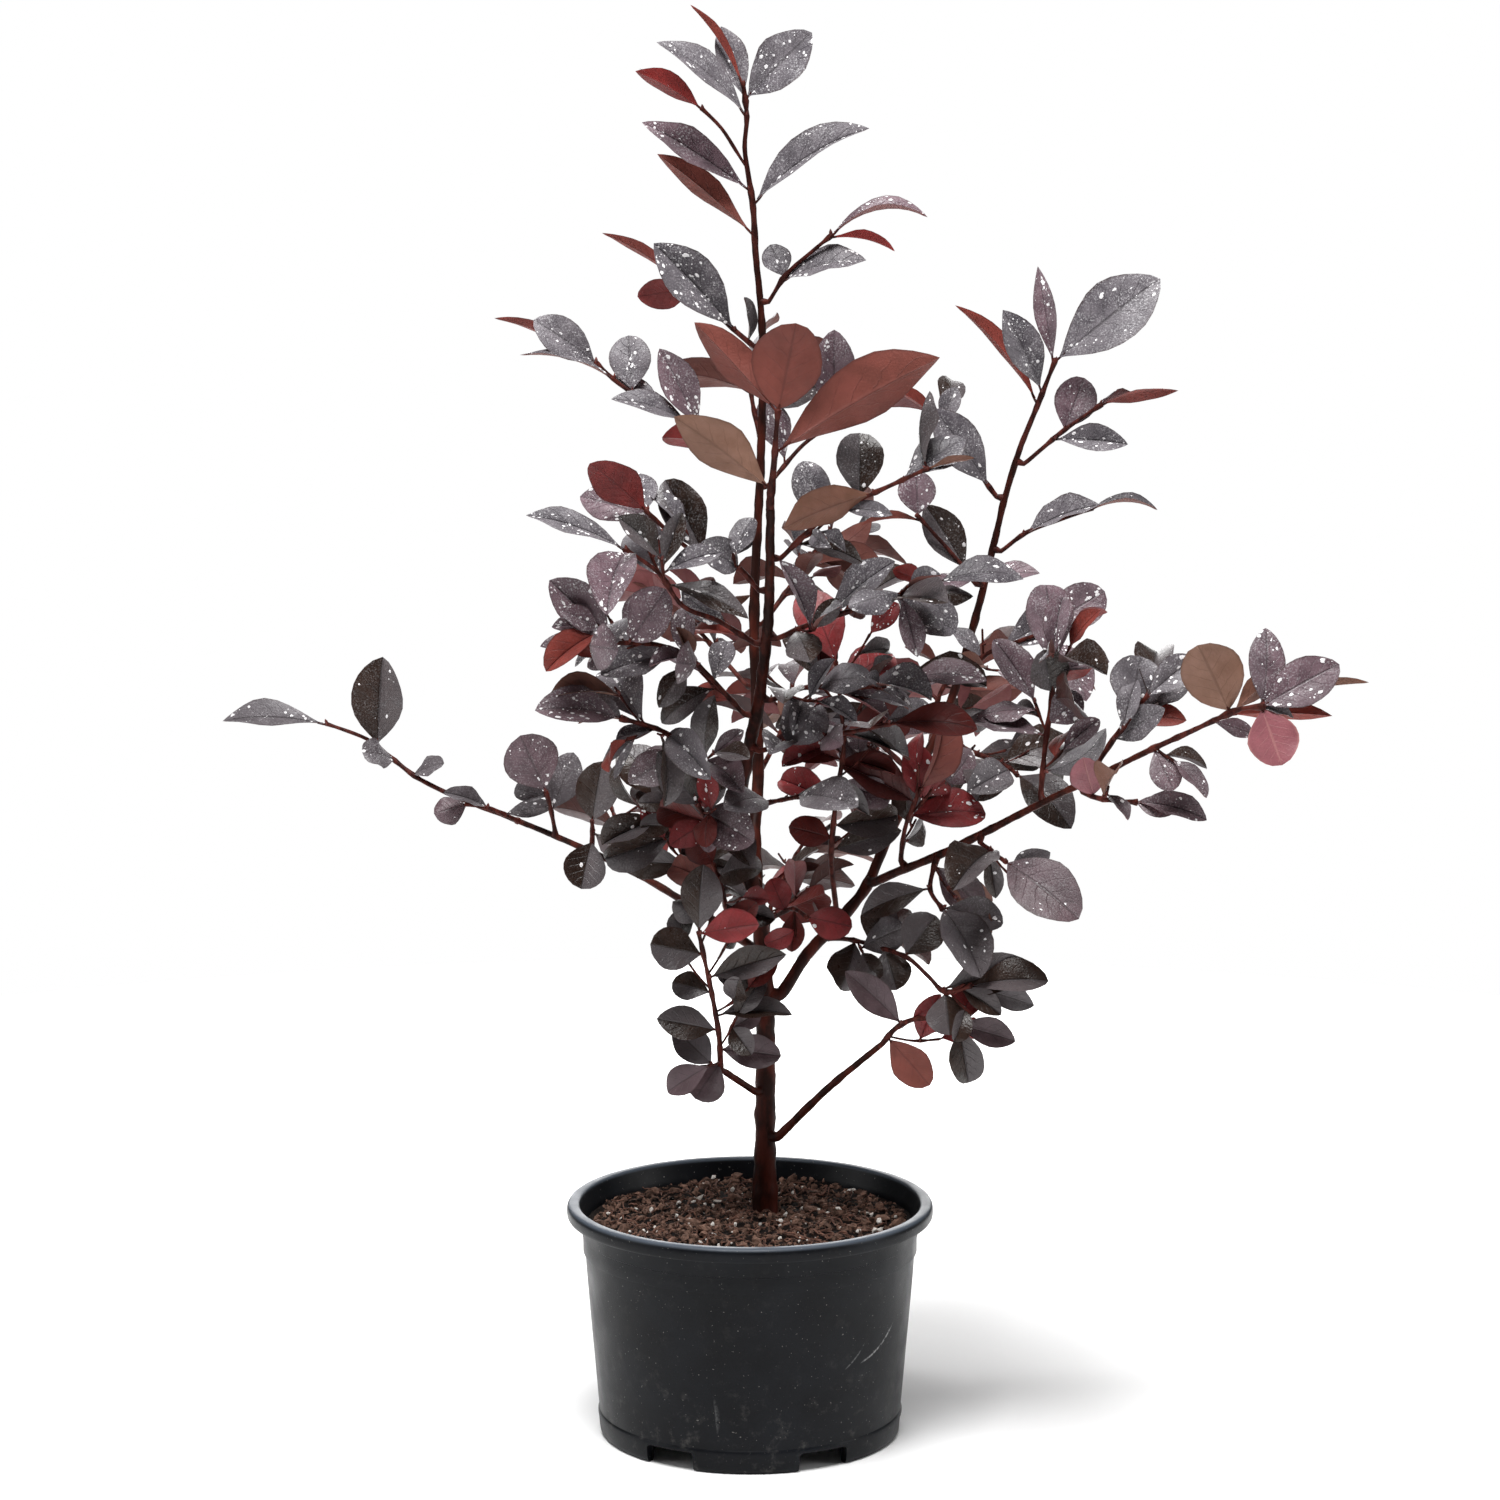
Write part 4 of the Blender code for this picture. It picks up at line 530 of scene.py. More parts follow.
def leaf_solid(root, axis, up, length, wide, droop, swell=0.0):
    """A plain leaf that stands for the space a blade takes."""
    side = axis.cross(up).normalized()
    bend = math.radians(droop)
    half = 0.5 * wide * length + swell
    keel = max(KEEL_LEAST, KEEL_SHARE * length) + 2 * swell
    stalk = PETIOLE_RADIUS + swell
    crest = up * stalk * STALK_CREST
    vertices = [root - side * stalk + crest, root + side * stalk + crest, root - up * stalk]

    def spine(share):
        run = max(share - PETIOLE_SHARE, 0.0) / (1.0 - PETIOLE_SHARE)
        angle = bend * run
        reach = math.sin(angle) / bend if bend else run
        drop = (1.0 - math.cos(angle)) / bend if bend else 0.0
        blade = length * (1.0 - PETIOLE_SHARE)
        place = root + axis * (min(share, PETIOLE_SHARE) * length + reach * blade) - up * drop * blade
        return place, up * math.cos(angle) + axis * math.sin(angle)

    for share, breadth in LEAF_STATIONS:
        place, lift = spine(share)
        top = place + lift * swell
        vertices += [top - side * half * breadth, top + side * half * breadth,
                     top - lift * keel * (1.0 if share < KEEL_THIN_FROM else KEEL_THIN)]
    tip, lift = spine(1.0)
    vertices.append(tip + axis * swell)
    faces = [(0, 1, 2)]
    for ring in range(len(LEAF_STATIONS)):
        low = 3 * ring
        for corner in range(3):
            after = (corner + 1) % 3
            faces.append((low + corner, low + 3 + corner, low + 3 + after, low + after))
    last = 3 * len(LEAF_STATIONS)
    end = last + 3
    faces += [(last, end, last + 1), (last + 1, end, last + 2), (last + 2, end, last)]
    return vertices, faces


class Space:
    """Remembers every solid that stands, so that a new one can be kept clear of it."""

    def __init__(self):
        self.solids = []

    @staticmethod
    def span(vertices):
        return [(min(v[i] for v in vertices), max(v[i] for v in vertices)) for i in range(3)]

    def add(self, shape, owner):
        vertices, faces = shape
        tree = BVHTree.FromPolygons(vertices, faces)
        self.solids.append((tree, self.span(vertices), owner))

    def is_clear(self, shape, skip):
        vertices, faces = shape
        tree = BVHTree.FromPolygons(vertices, faces)
        box = self.span(vertices)
        for other, reach, owner in self.solids:
            if skip(owner):
                continue
            if any(box[i][0] > reach[i][1] or box[i][1] < reach[i][0] for i in range(3)):
                continue
            if tree.overlap(other):
                return False
        return True


def foot_of(parent_centres, parent_radii, at, toward):
    """Where a limb or shoot starts: clear of its parent's tip, or square to its parent's side."""
    place, axis = along(parent_centres, at)
    share = at * (len(parent_radii) - 1)
    low = min(int(share), len(parent_radii) - 2)
    radius = parent_radii[low] + (parent_radii[low + 1] - parent_radii[low]) * (share - low)
    if at >= 1.0:
        return place + axis * GAP, axis, 0.0
    out = across(toward, axis)
    return place + out * (radius + GAP), out, radius


def grow_limb(limb, grown):
    """Route, radii and solid of one tapering limb."""
    if limb.parent is None:
        points = walk(limb.start, limb.legs)
        first = Vector((0, 0, 1))
    else:
        centres, radii = grown[limb.parent][:2]
        start, first, parent_radius = foot_of(centres, radii, limb.at, bearing(*limb.legs[0][:2]))
        collar = start + first * limb.foot * LIMB_COLLAR
        heading, rise, length = limb.legs[0]
        legs = ((heading, rise, length - limb.foot - parent_radius),) + limb.legs[1:]
        points = [start] + walk(collar, legs)
    centres = smooth(points, LIMB_STEP)
    total = len(centres) - 1
    radii = [limb.foot + (limb.tip - limb.foot) * (i / total) ** LIMB_TAPER for i in range(total + 1)]
    if limb.parent is None:
        centres[1:1] = [centres[0] + Vector((0, 0, rise)) for rise in FLARE_RISE]
        radii[0:1] = [limb.foot + extra for extra in ROOT_FLARE]
    return centres, radii, tube(centres, radii, limb.sides, first)


def leaf_axes(axis, spin, spread, face, roll):
    """Direction of a leaf's midrib and of its upper side."""
    reference = Vector((0, 0, 1)) if abs(axis.z) < 0.7 else Vector((1, 0, 0))
    base = across(reference, axis)
    side = Matrix.Rotation(math.radians(spin), 3, axis) @ base
    angle = math.radians(spread)
    midrib = (axis * math.cos(angle) + side * math.sin(angle)).normalized()
    heading, strength = face
    look = Vector((0, 0, 1)) + bearing(heading, 0) * strength
    up = across(look, midrib)
    return midrib, Matrix.Rotation(math.radians(roll), 3, midrib) @ up


def stand(space, shoot, joint, midrib, up, size, wide, droop):
    """The solid of a leaf, if it stands clear of everything else."""
    solid = leaf_solid(joint, midrib, up, size, wide, droop)
    guard = leaf_solid(joint, midrib, up, size, wide, droop, CLEARANCE)
    blade = leaf_solid(joint + midrib * FREE_FOOT * size, midrib, up, size * FREE_BLADE, wide, droop)
    if not space.is_clear(guard, lambda owner: owner == shoot.name):
        return None
    if not space.is_clear(blade, lambda owner: owner != shoot.name):
        return None
    space.add(solid, shoot.name)
    return solid


def place_leaf(space, shoot, rng, joint, axis, spin, spread, length, at):
    """Tries a leaf at a joint, turned a little more each time, until it stands clear."""
    roll = rng.gauss(0, ROLL_STRAY)
    if rng.random() < TWISTED:
        roll += rng.choice((-TWIST_ROLL, TWIST_ROLL))
    droop = rng.uniform(*DROOP)
    wide = shoot.wide * rng.uniform(*LEAF_BREADTH)
    for attempt in range(LEAF_TRIES):
        reach = LEAF_TURN * attempt
        midrib, up = leaf_axes(axis, spin + rng.uniform(-reach, reach),
                               spread + rng.uniform(-reach, reach) * SPREAD_TURN, shoot.face,
                               roll + rng.uniform(-reach, reach))
        size = length * (1.0 - LEAF_SHRINK * attempt)
        solid = stand(space, shoot, joint, midrib, up, size, wide, droop)
        if solid:
            return Leaf(joint, midrib, up, size, wide, droop, shoot.tone, at, False)
    return None


def aim_leaf(space, shoot, rng, centres, aim, tone):
    """A leaf that ends at its reach from its joint, or as near to it as it stands clear."""
    joint, axis = along(centres, aim.at)
    if aim.at >= 1.0:
        joint = centres[-1] - axis * SET_BACK
    chord = Vector(aim.reach)
    bend = math.radians(aim.droop)
    arc = PETIOLE_SHARE + (1.0 - PETIOLE_SHARE) * math.sin(bend / 2.0) / (bend / 2.0)
    for attempt in range(AIM_TRIES):
        stray = AIM_STRAY * attempt
        heading = chord.normalized() + Vector([rng.uniform(-stray, stray) for i in range(3)])
        heading.normalize()
        look = bearing(*aim.look) + Vector([rng.uniform(-stray, stray) for i in range(3)]) * LOOK_STRAY
        lift = across(look, heading)
        midrib = heading * math.cos(bend / 2.0) + lift * math.sin(bend / 2.0)
        up = lift * math.cos(bend / 2.0) - heading * math.sin(bend / 2.0)
        size = chord.length / arc * (1.0 - AIM_SHRINK * attempt)
        solid = stand(space, shoot, joint, midrib, up, size, aim.wide, aim.droop)
        if solid:
            return Leaf(joint, midrib, up, size, aim.wide, aim.droop, tone, aim.at, True)
    return None


def grow_leaves(space, shoot, rng, centres, count, bare):
    """Alternate leaves along a twig, with one more at its tip."""
    leaves = []
    for index in range(count):
        last = index == count - 1
        share = bare + (1.0 - bare) * (index / max(count - 1, 1))
        joint, axis = along(centres, share)
        if last:
            joint = centres[-1] - axis * SET_BACK
        spin = shoot.turn + 180.0 * (index % 2) + rng.gauss(0, SPIN_STRAY)
        spread = SPREAD + SPREAD_UPRIGHT * abs(axis.z) + rng.uniform(-SPREAD_STRAY, SPREAD_STRAY)
        if last:
            spread = shoot.tip + rng.uniform(-TIP_STRAY, TIP_STRAY)
        size = shoot.leaf * (LOWEST_SIZE + SIZE_GAIN * share) * rng.uniform(*SIZE_STRAY)
        leaf = place_leaf(space, shoot, rng, joint, axis, spin, spread, size, share)
        if leaf:
            leaves.append(leaf)
    return leaves


def grow_twigs(space, shoot, grown):
    """Stem and side twigs of one mass, as the routes and radii that its leaves will follow."""
    rng = random.Random(shoot.seed)
    parent_centres, parent_radii = grown[shoot.limb][:2]
    width = TWIG_TIP_RADIUS * (STEM_WIDTH + STEM_WIDTH_PER_LEAF * shoot.leaves)
    if shoot.at >= 1.0:
        width = parent_radii[-1]
    for attempt in range(STEM_TRIES):
        bend = STEM_BEND * attempt
        legs = [(h + rng.uniform(-bend, bend), r + rng.uniform(-bend, bend), length)
                for h, r, length in shoot.legs]
        start, first, skip = foot_of(parent_centres, parent_radii, shoot.at, bearing(*legs[0][:2]))
        points = [start] + walk(start + first * max(width * STEM_COLLAR, STEM_COLLAR_LEAST), legs)
        centres = smooth(points, TWIG_STEP)
        total = len(centres) - 1
        radii = [width + (TWIG_TIP_RADIUS - width) * i / total for i in range(total + 1)]
        stem = tube(centres, radii, ROOT_SIDES, first)
        wide = [radius + 2 * CLEARANCE for radius in radii]
        guard = tube(centres, wide, ROOT_SIDES, first, 1)
        collar = tube(centres, wide, ROOT_SIDES, first, 0, 2)
        if (space.is_clear(guard, lambda owner: False)
                and space.is_clear(collar, lambda owner: owner == shoot.limb)):
            break
    else:
        raise ValueError("no room for " + shoot.name)
    space.add(stem, shoot.name)
    twigs = [(centres, radii, shoot.leaves, shoot.bare)]
    for at, side_legs, count in shoot.side:
        joint, axis = along(centres, at)
        route = smooth(walk(joint, side_legs), TWIG_STEP)
        slim = [SIDE_FOOT * TWIG_TIP_RADIUS] + [TWIG_TIP_RADIUS] * (len(route) - 1)
        twig = tube(route, slim, ROOT_SIDES)
        guard = tube(route, [radius + 2 * CLEARANCE for radius in slim], ROOT_SIDES)
        if space.is_clear(guard, lambda owner: owner == shoot.name):
            space.add(twig, shoot.name)
            twigs.append((route, slim, count, SIDE_BARE))
    return twigs


def ground_guard():
    """Pot and soil as one plain drum that no leaf may reach into."""
    top = POT_HEIGHT + 1.0
    rings = ((LIP_RADIUS, 0.0), (LIP_RADIUS, top), (COLLAR_RADIUS, top), (COLLAR_RADIUS, SOIL_TOP))
    steps = 24
    vertices = [Vector((0, 0, 0))]
    for radius, height in rings:
        for step in range(steps):
            angle = math.radians(360.0 * step / steps)
            vertices.append(Vector((radius * math.cos(angle), radius * math.sin(angle), height)))
    vertices.append(Vector((0, 0, SOIL_TOP)))
    last = len(vertices) - 1
    faces = []
    for step in range(steps):
        after = (step + 1) % steps
        faces.append((0, 1 + after, 1 + step))
        for ring in range(len(rings) - 1):
            low = 1 + ring * steps
            faces.append((low + step, low + after, low + steps + after, low + steps + step))
        rim = 1 + (len(rings) - 1) * steps
        faces.append((last, rim + step, rim + after))
    return vertices, faces


# Short twiglets with a few small young leaves, inside the reach of their mass
TWIGLET_SEED = 4200
TWIGLET_CHANCE = 0.9
TWIGLET_HIGHEST = 0.95
TWIGLET_AHEAD = 0.02
TWIGLET_ALONG = 0.75
TWIGLET_ASIDE = (0.5, 0.9)
TWIGLET_STRAY = 0.35
TWIGLET_RISE = 0.12
TWIGLET_LENGTH = (9.0, 24.0)
TWIGLET_RADIUS = 0.5
TWIGLET_STEP = 3.0
YOUNG_LEAVES = (2, 3, 4)
YOUNG_LEAF = (0.48, 0.84)
YOUNG_AT = (0.45, 0.8)
YOUNG_SPREAD = (45, 75)
YOUNG_TIP_SPREAD = (5, 25)
PAST_MASS = 1.0
# left and right, then low and high, of the part of the crown that bears twiglets
DENSE_CROWN = ((-95.0, 196.0), (150.0, 430.0))


def in_dense_crown(place):
    """Whether a point in mm lies where the crown is thick enough for twiglets."""
    (left, right), (low, high) = DENSE_CROWN
    return left < place.x < right and low < place.z < high


def grow_twiglets(space, shoot, route, leaves):
    """Short side twigs from leaf axils, with up to four young leaves each."""
    rng = random.Random(TWIGLET_SEED + shoot.seed)
    low, high = [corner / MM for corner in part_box(shoot.name)]
    made = []
    for leaf in leaves:
        if rng.random() > TWIGLET_CHANCE or leaf.at > TWIGLET_HIGHEST or not in_dense_crown(leaf.joint):
            continue
        place, axis = along(route, min(leaf.at + TWIGLET_AHEAD, 1.0))
        lean = across(leaf.axis, axis)
        heading = axis * TWIGLET_ALONG + lean * rng.uniform(*TWIGLET_ASIDE)
        heading += Vector([rng.uniform(-TWIGLET_STRAY, TWIGLET_STRAY) for i in range(3)])
        heading.normalize()
        length = rng.uniform(*TWIGLET_LENGTH)
        points = [place, place + heading * length * 0.5,
                  place + heading * length + Vector((0, 0, TWIGLET_RISE * length))]
        twig = smooth(points, TWIGLET_STEP)
        slim = [TWIGLET_RADIUS] * len(twig)
        guard = tube(twig[1:], [TWIGLET_RADIUS + CLEARANCE] * (len(twig) - 1), ROOT_SIDES)
        if not space.is_clear(guard, lambda owner: owner == shoot.name):
            continue
        grown = []
        for index in range(rng.choice(YOUNG_LEAVES)):
            last = index == 0
            share = 1.0 if last else rng.uniform(*YOUNG_AT)
            joint, twig_axis = along(twig, share)
            spin = rng.uniform(0, 360)
            spread = rng.uniform(*YOUNG_TIP_SPREAD) if last else rng.uniform(*YOUNG_SPREAD)
            size = shoot.leaf * rng.uniform(*YOUNG_LEAF)
            small = place_leaf(space, shoot, rng, joint, twig_axis, spin, spread, size, share)
            if small is None:
                continue
            end = small.joint + small.axis * small.length
            if all(low[i] - PAST_MASS < end[i] < high[i] + PAST_MASS for i in range(3)):
                grown.append(small)
        if grown:
            made.append((twig, slim, grown))
    return made


def grow_plant():
    """Limbs by name, and the twigs with their leaves of every mass."""
    grown = {}
    space = Space()
    space.add(ground_guard(), "ground")
    for limb in LIMBS:
        grown[limb.name] = grow_limb(limb, grown)
        space.add(grown[limb.name][2], limb.name)
    routes = {}
    for shoot in SHOOTS:
        routes[shoot.name] = grow_twigs(space, shoot, grown)
    aimed = {}
    for shoot in SHOOTS:
        rng = random.Random(AIM_SEED + shoot.seed)
        aimed[shoot.name] = [[] for route in routes[shoot.name]]
        tones, *aims = AIMS.get(shoot.name, ("",))
        for aim, tone in zip(aims, tones.split()):
            leaf = aim_leaf(space, shoot, rng, routes[shoot.name][aim.twig][0], aim, tone)
            if leaf:
                aimed[shoot.name][aim.twig].append(leaf)
    twigs = []
    for shoot in SHOOTS:
        rng = random.Random(LEAF_SEED + shoot.seed)
        for number, (route, radii, count, bare) in enumerate(routes[shoot.name]):
            leaves = aimed[shoot.name][number]
            leaves += grow_leaves(space, shoot, rng, route, count, bare)
            twigs.append((shoot, route, radii, leaves, route is routes[shoot.name][0][0]))
    for shoot, route, radii, leaves, is_stem in list(twigs):
        for twig, slim, young in grow_twiglets(space, shoot, route, leaves):
            twigs.append((shoot, twig, slim, young, False))
    return grown, twigs


# Finishes
def linear(hex_colour):
    """Linear red, green, blue and alpha from an sRGB hex value."""
    values = [int(hex_colour[i:i + 2], 16) / 255 for i in (1, 3, 5)]
    return (*[v / 12.92 if v <= 0.04045 else ((v + 0.055) / 1.055) ** 2.4 for v in values], 1.0)


def feed(tree, node, links):
    """Fills a node's inputs with values, or links them to other nodes."""
    for key, value in links.items():
        if isinstance(value, bpy.types.Node):
            value = value.outputs[0]
        if isinstance(value, bpy.types.NodeSocket):
            tree.links.new(value, node.inputs[key])
        else:
            node.inputs[key].default_value = value


def per(size_mm):
    """Scale of a noise with lumps of about this size."""
    return 1.0 / (size_mm * MM)


def add(tree, kind, links=None, **settings):
    """Adds one shader node, with its options set and its inputs filled or linked.

    Inputs go by name or by number. Math has 0, 1 and 2. MapRange has the value at 0, the range that it
    comes from at 1 and 2, and the one that it goes to at 3 and 4. Mix has its share at 0 and its two
    colours at 6 and 7, and gives the mixed colour at output 2."""
    made = tree.nodes.new("ShaderNode" + kind)
    for key, value in settings.items():
        setattr(made, key, value)
    feed(tree, made, links or {})
    return made


def new_finish(name, roughness, ior, specular):
    """A principled material with its constants on the shader itself, and the place that patterns read."""
    material = bpy.data.materials.new(name)
    material.use_nodes = True
    tree = material.node_tree
    shader = tree.nodes["Principled BSDF"]
    feed(tree, shader, {"Roughness": roughness, "IOR": ior, "Specular IOR Level": specular,
                        "Metallic": 0.0})
    return material, tree, shader, add(tree, "TexCoord").outputs["Object"]


def leaf_finish(name, base, second, vein, roughness, sheen, spray_and_low_shade, painted_reflection_share, is_top):
    """Living leaf: a thin waxy skin under short pale star hairs, whose sheen greys it where it faces the
    light, with one half painted grey as a painted reflection of the sky.

    The midrib and its side veins lie sunk in the upper side and stand proud on the under side, and the
    skin between them is quilted in fine pebbles of about 1 mm."""
    material, tree, shader, place = new_finish(name, roughness, 1.45, 0.38)
    feed(tree, shader, {"Sheen Weight": sheen, "Sheen Roughness": 0.45})
    blade = add(tree, "SeparateXYZ", {0: add(tree, "UVMap", uv_map="blade")})
    aside = add(tree, "Math", {0: blade.outputs[0], 1: 0.5}, operation="SUBTRACT")
    off_rib = add(tree, "Math", {0: add(tree, "Math", {0: aside}, operation="ABSOLUTE"), 1: 2.0},
                  operation="MULTIPLY")
    # side veins leave the midrib on a slant, five or six to a side, and wander a little
    wander = add(tree, "TexNoise", {"Vector": place, "Scale": per(5.0), "Detail": 1.0})
    slant = add(tree, "Math", {0: off_rib, 1: -1.7, 2: blade.outputs[1]}, operation="MULTIPLY_ADD")
    steps = add(tree, "Math", {0: blade.outputs[1], 1: 5.5, 2: slant}, operation="MULTIPLY_ADD")
    phase = add(tree, "Math", {0: wander, 1: 0.5, 2: steps}, operation="MULTIPLY_ADD")
    wave = add(tree, "Math", {0: phase, 1: 0.5}, operation="PINGPONG")
    veins = add(tree, "MapRange", {0: wave, 1: 0.0, 2: 0.07, 3: 1.0, 4: 0.0},
                interpolation_type="SMOOTHSTEP")
    fading = add(tree, "MapRange", {0: off_rib, 1: 0.4, 2: 1.0, 3: 0.7, 4: 0.0})
    veins = add(tree, "Math", {0: veins, 1: fading}, operation="MULTIPLY")
    rib = add(tree, "MapRange", {0: off_rib, 1: 0.01, 2: 0.08, 3: 1.0, 4: 0.0},
              interpolation_type="SMOOTHSTEP")
    web = add(tree, "Math", {0: veins, 1: rib}, operation="MAXIMUM")
    # each leaf has its own shade, and blots of about 8 mm within it
    tint = add(tree, "Attribute", attribute_name="tint").outputs["Fac"]
    blots = add(tree, "TexNoise", {"Vector": place, "Scale": per(8.0), "Detail": 4.0})
    mottle = add(tree, "MapRange", {0: blots, 1: 0.38, 2: 0.64, 3: 0.0, 4: 0.55})
    share = add(tree, "Math", {0: tint, 1: 0.48, 2: mottle}, operation="MULTIPLY_ADD")
    skin = add(tree, "Mix", {0: share, 6: linear(base), 7: linear(second)}, data_type="RGBA").outputs[2]
    web_share = add(tree, "Math", {0: web, 1: 0.6 if is_top else 0.45}, operation="MULTIPLY")
    veined = add(tree, "Mix", {0: web_share, 6: skin, 7: linear(vein)}, data_type="RGBA").outputs[2]
    # the thin rim of the blade is darker, and reddish on the upper side
    rim = add(tree, "MapRange", {0: off_rib, 1: 0.90, 2: 1.0, 3: 0.0, 4: 0.70})
    rim_shade = linear("#2a110e" if is_top else vein)
    edged = add(tree, "Mix", {0: rim, 6: veined, 7: rim_shade}, data_type="RGBA").outputs[2]
    # painted shade: the lower the leaves stand below 0.41 m, the darker the brown they are painted, for the
    # shade inside the lower crown
    height = add(tree, "SeparateXYZ", {0: place}).outputs[2]
    painted_low_shade = add(tree, "MapRange", {0: height, 1: 0.23, 2: 0.41, 3: 0.9 * spray_and_low_shade, 4: 0.0})
    edged = add(tree, "Mix", {0: painted_low_shade, 6: edged, 7: linear("#2a1f19")}, data_type="RGBA").outputs[2]
    # painted reflection: one half of each blade, the left or the right of the midrib by its tint, is
    # painted a light grey that stands for the sky reflected by the half of a blade folded along its midrib
    # that is turned to the sky
    turned = add(tree, "MapRange", {0: tint, 1: 0.49, 2: 0.51, 3: -1.0, 4: 1.0})
    lit_side = add(tree, "Math", {0: aside, 1: turned}, operation="MULTIPLY")
    half = add(tree, "MapRange", {0: lit_side, 1: -0.02, 2: 0.02, 3: 0.0, 4: painted_reflection_share})
    edged = add(tree, "Mix", {0: half, 6: edged, 7: linear("#696468")}, data_type="RGBA").outputs[2]
    # dried spray: pale grains of under a millimetre in drifts of 11 mm, only on the upper part of the crown
    grains = add(tree, "TexNoise", {"Vector": place, "Scale": per(0.75), "Detail": 3.0})
    grains = add(tree, "MapRange", {0: grains, 1: 0.50, 2: 0.70})
    drifts = add(tree, "TexNoise", {"Vector": place, "Scale": per(11.0), "Detail": 3.0})
    drifts = add(tree, "MapRange", {0: drifts, 1: 0.34, 2: 0.66, 3: 0.12, 4: 1.0})
    reach = add(tree, "MapRange", {0: height, 1: 0.20, 2: 0.40, 3: 0.0, 4: spray_and_low_shade})
    spray = add(tree, "Math", {0: grains, 1: drifts}, operation="MULTIPLY")
    spray = add(tree, "Math", {0: spray, 1: reach}, operation="MULTIPLY")
    sprayed = add(tree, "Mix", {0: spray, 6: edged, 7: linear("#cbc9cb")}, data_type="RGBA").outputs[2]
    pebbles = add(tree, "TexNoise", {"Vector": place, "Scale": per(1.0), "Detail": 2.0})
    relief = add(tree, "Math", {0: web, 1: -1.1 if is_top else 0.9, 2: pebbles}, operation="MULTIPLY_ADD")
    bump = add(tree, "Bump", {"Strength": 0.55, "Distance": 0.35 * MM, "Height": relief})
    worn = add(tree, "TexNoise", {"Vector": place, "Scale": per(2.2), "Detail": 3.0})
    worn = add(tree, "MapRange", {0: worn, 1: 0.3, 2: 0.75, 3: roughness - 0.07, 4: roughness + 0.10})
    feed(tree, shader, {"Base Color": sprayed, "Normal": bump, "Roughness": worn})
    return material


# Skin, second shade, veins, roughness, sheen, strength of the dried spray and of the painted shade low in
# the crown, and of the painted reflection that greys the half turned to the sky:
# the upper side of each tone, then its under side
LEAF_TONES = {
    "slate": (
        ("#383339", "#6a6469", "#221d20", 0.46, 0.07, 0.60, 0.22),
        ("#582f2a", "#74443b", "#45201f", 0.60, 0.05, 0.0, 0.0)),
    "mauve": (
        ("#432f37", "#715a62", "#2a1b21", 0.46, 0.07, 0.55, 0.15),
        ("#653235", "#7d4a48", "#4c2628", 0.60, 0.05, 0.0, 0.0)),
    "dark": (
        ("#180d08", "#32221b", "#0b0604", 0.33, 0.02, 0.25, 0.40),
        ("#32130e", "#4e231b", "#220b08", 0.50, 0.03, 0.0, 0.22)),
    "red": (
        ("#5b1a1b", "#872b2e", "#401013", 0.46, 0.04, 0.10, 0.0),
        ("#621715", "#832623", "#470f0e", 0.52, 0.03, 0.0, 0.0)),
    "rust": (
        ("#642721", "#82362d", "#4b1a17", 0.52, 0.04, 0.05, 0.0),
        ("#632721", "#81352b", "#4d1c18", 0.58, 0.03, 0.0, 0.0)),
    "brick": (
        ("#582c26", "#713a32", "#421f1b", 0.55, 0.04, 0.0, 0.0),
        ("#602f26", "#763b32", "#4a231e", 0.60, 0.04, 0.0, 0.0)),
    "brown": (
        ("#56372e", "#714b3f", "#402822", 0.56, 0.05, 0.0, 0.0),
        ("#5d3c2c", "#764e40", "#4b2e24", 0.60, 0.05, 0.0, 0.0)),
    "tan": (
        ("#674738", "#825c4d", "#503226", 0.58, 0.05, 0.0, 0.0),
        ("#6d4c3c", "#866353", "#583c2f", 0.62, 0.05, 0.0, 0.0)),
    "pink": (
        ("#74434a", "#8e555c", "#9c6c6a", 0.50, 0.10, 0.1, 0.0),
        ("#78434a", "#8d5359", "#a2736e", 0.54, 0.08, 0.0, 0.0)),
    "wine": (
        ("#3f0d0a", "#571813", "#290706", 0.48, 0.04, 0.0, 0.0),
        ("#45100c", "#5e1b16", "#2d0908", 0.52, 0.04, 0.0, 0.0)),
}


def leaf_finishes():
    """Upper and under side of the leaves of each tone."""
    made = {}
    for tone, (top, back) in LEAF_TONES.items():
        made[tone] = (leaf_finish("leaf_top_" + tone, *top, True),
                      leaf_finish("leaf_back_" + tone, *back, False))
    return made


def bark_finish(name, base, second, lit, crack_mm):
    """Young shrub bark: dark red-brown cork grown over the shoot, split in fine lengthwise cracks."""
    material, tree, shader, place = new_finish(name, 0.52, 1.5, 0.09)
    stretched = add(tree, "Mapping", {"Vector": place, "Scale": (1.0, 1.0, 0.35)})
    blots = add(tree, "TexNoise", {"Vector": stretched, "Scale": per(2.5 * crack_mm), "Detail": 4.0})
    share = add(tree, "MapRange", {0: blots, 1: 0.38, 2: 0.66}, interpolation_type="SMOOTHSTEP")
    skin = add(tree, "Mix", {0: share, 6: linear(base), 7: linear(second)}, data_type="RGBA").outputs[2]
    cracks = add(tree, "TexNoise", {"Vector": stretched, "Scale": per(crack_mm), "Detail": 5.0,
                                    "Roughness": 0.65})
    flakes = add(tree, "MapRange", {0: cracks, 1: 0.60, 2: 0.80, 3: 0.0, 4: 0.45})
    flaked = add(tree, "Mix", {0: flakes, 6: skin, 7: linear(lit)}, data_type="RGBA").outputs[2]
    bump = add(tree, "Bump", {"Strength": 0.45, "Distance": 0.4 * MM, "Height": cracks})
    feed(tree, shader, {"Base Color": flaked, "Normal": bump})
    return material


# Rub marks on the wall: centre of the arc, its radius and width in mm, which way it lies, and strength
RUBS = (
    ((46.1, -60.5, 87.1), 40.3, 0.65, (0.33, 0.39, -0.86), 0.90),
    ((33.0, -68.0, 71.0), 28.0, 0.60, (0.62, 0.30, -0.72), 0.30),
    ((-36.0, -66.0, 26.0), 20.5, 2.60, (0.98, 0.10, 0.10), 0.20),
)


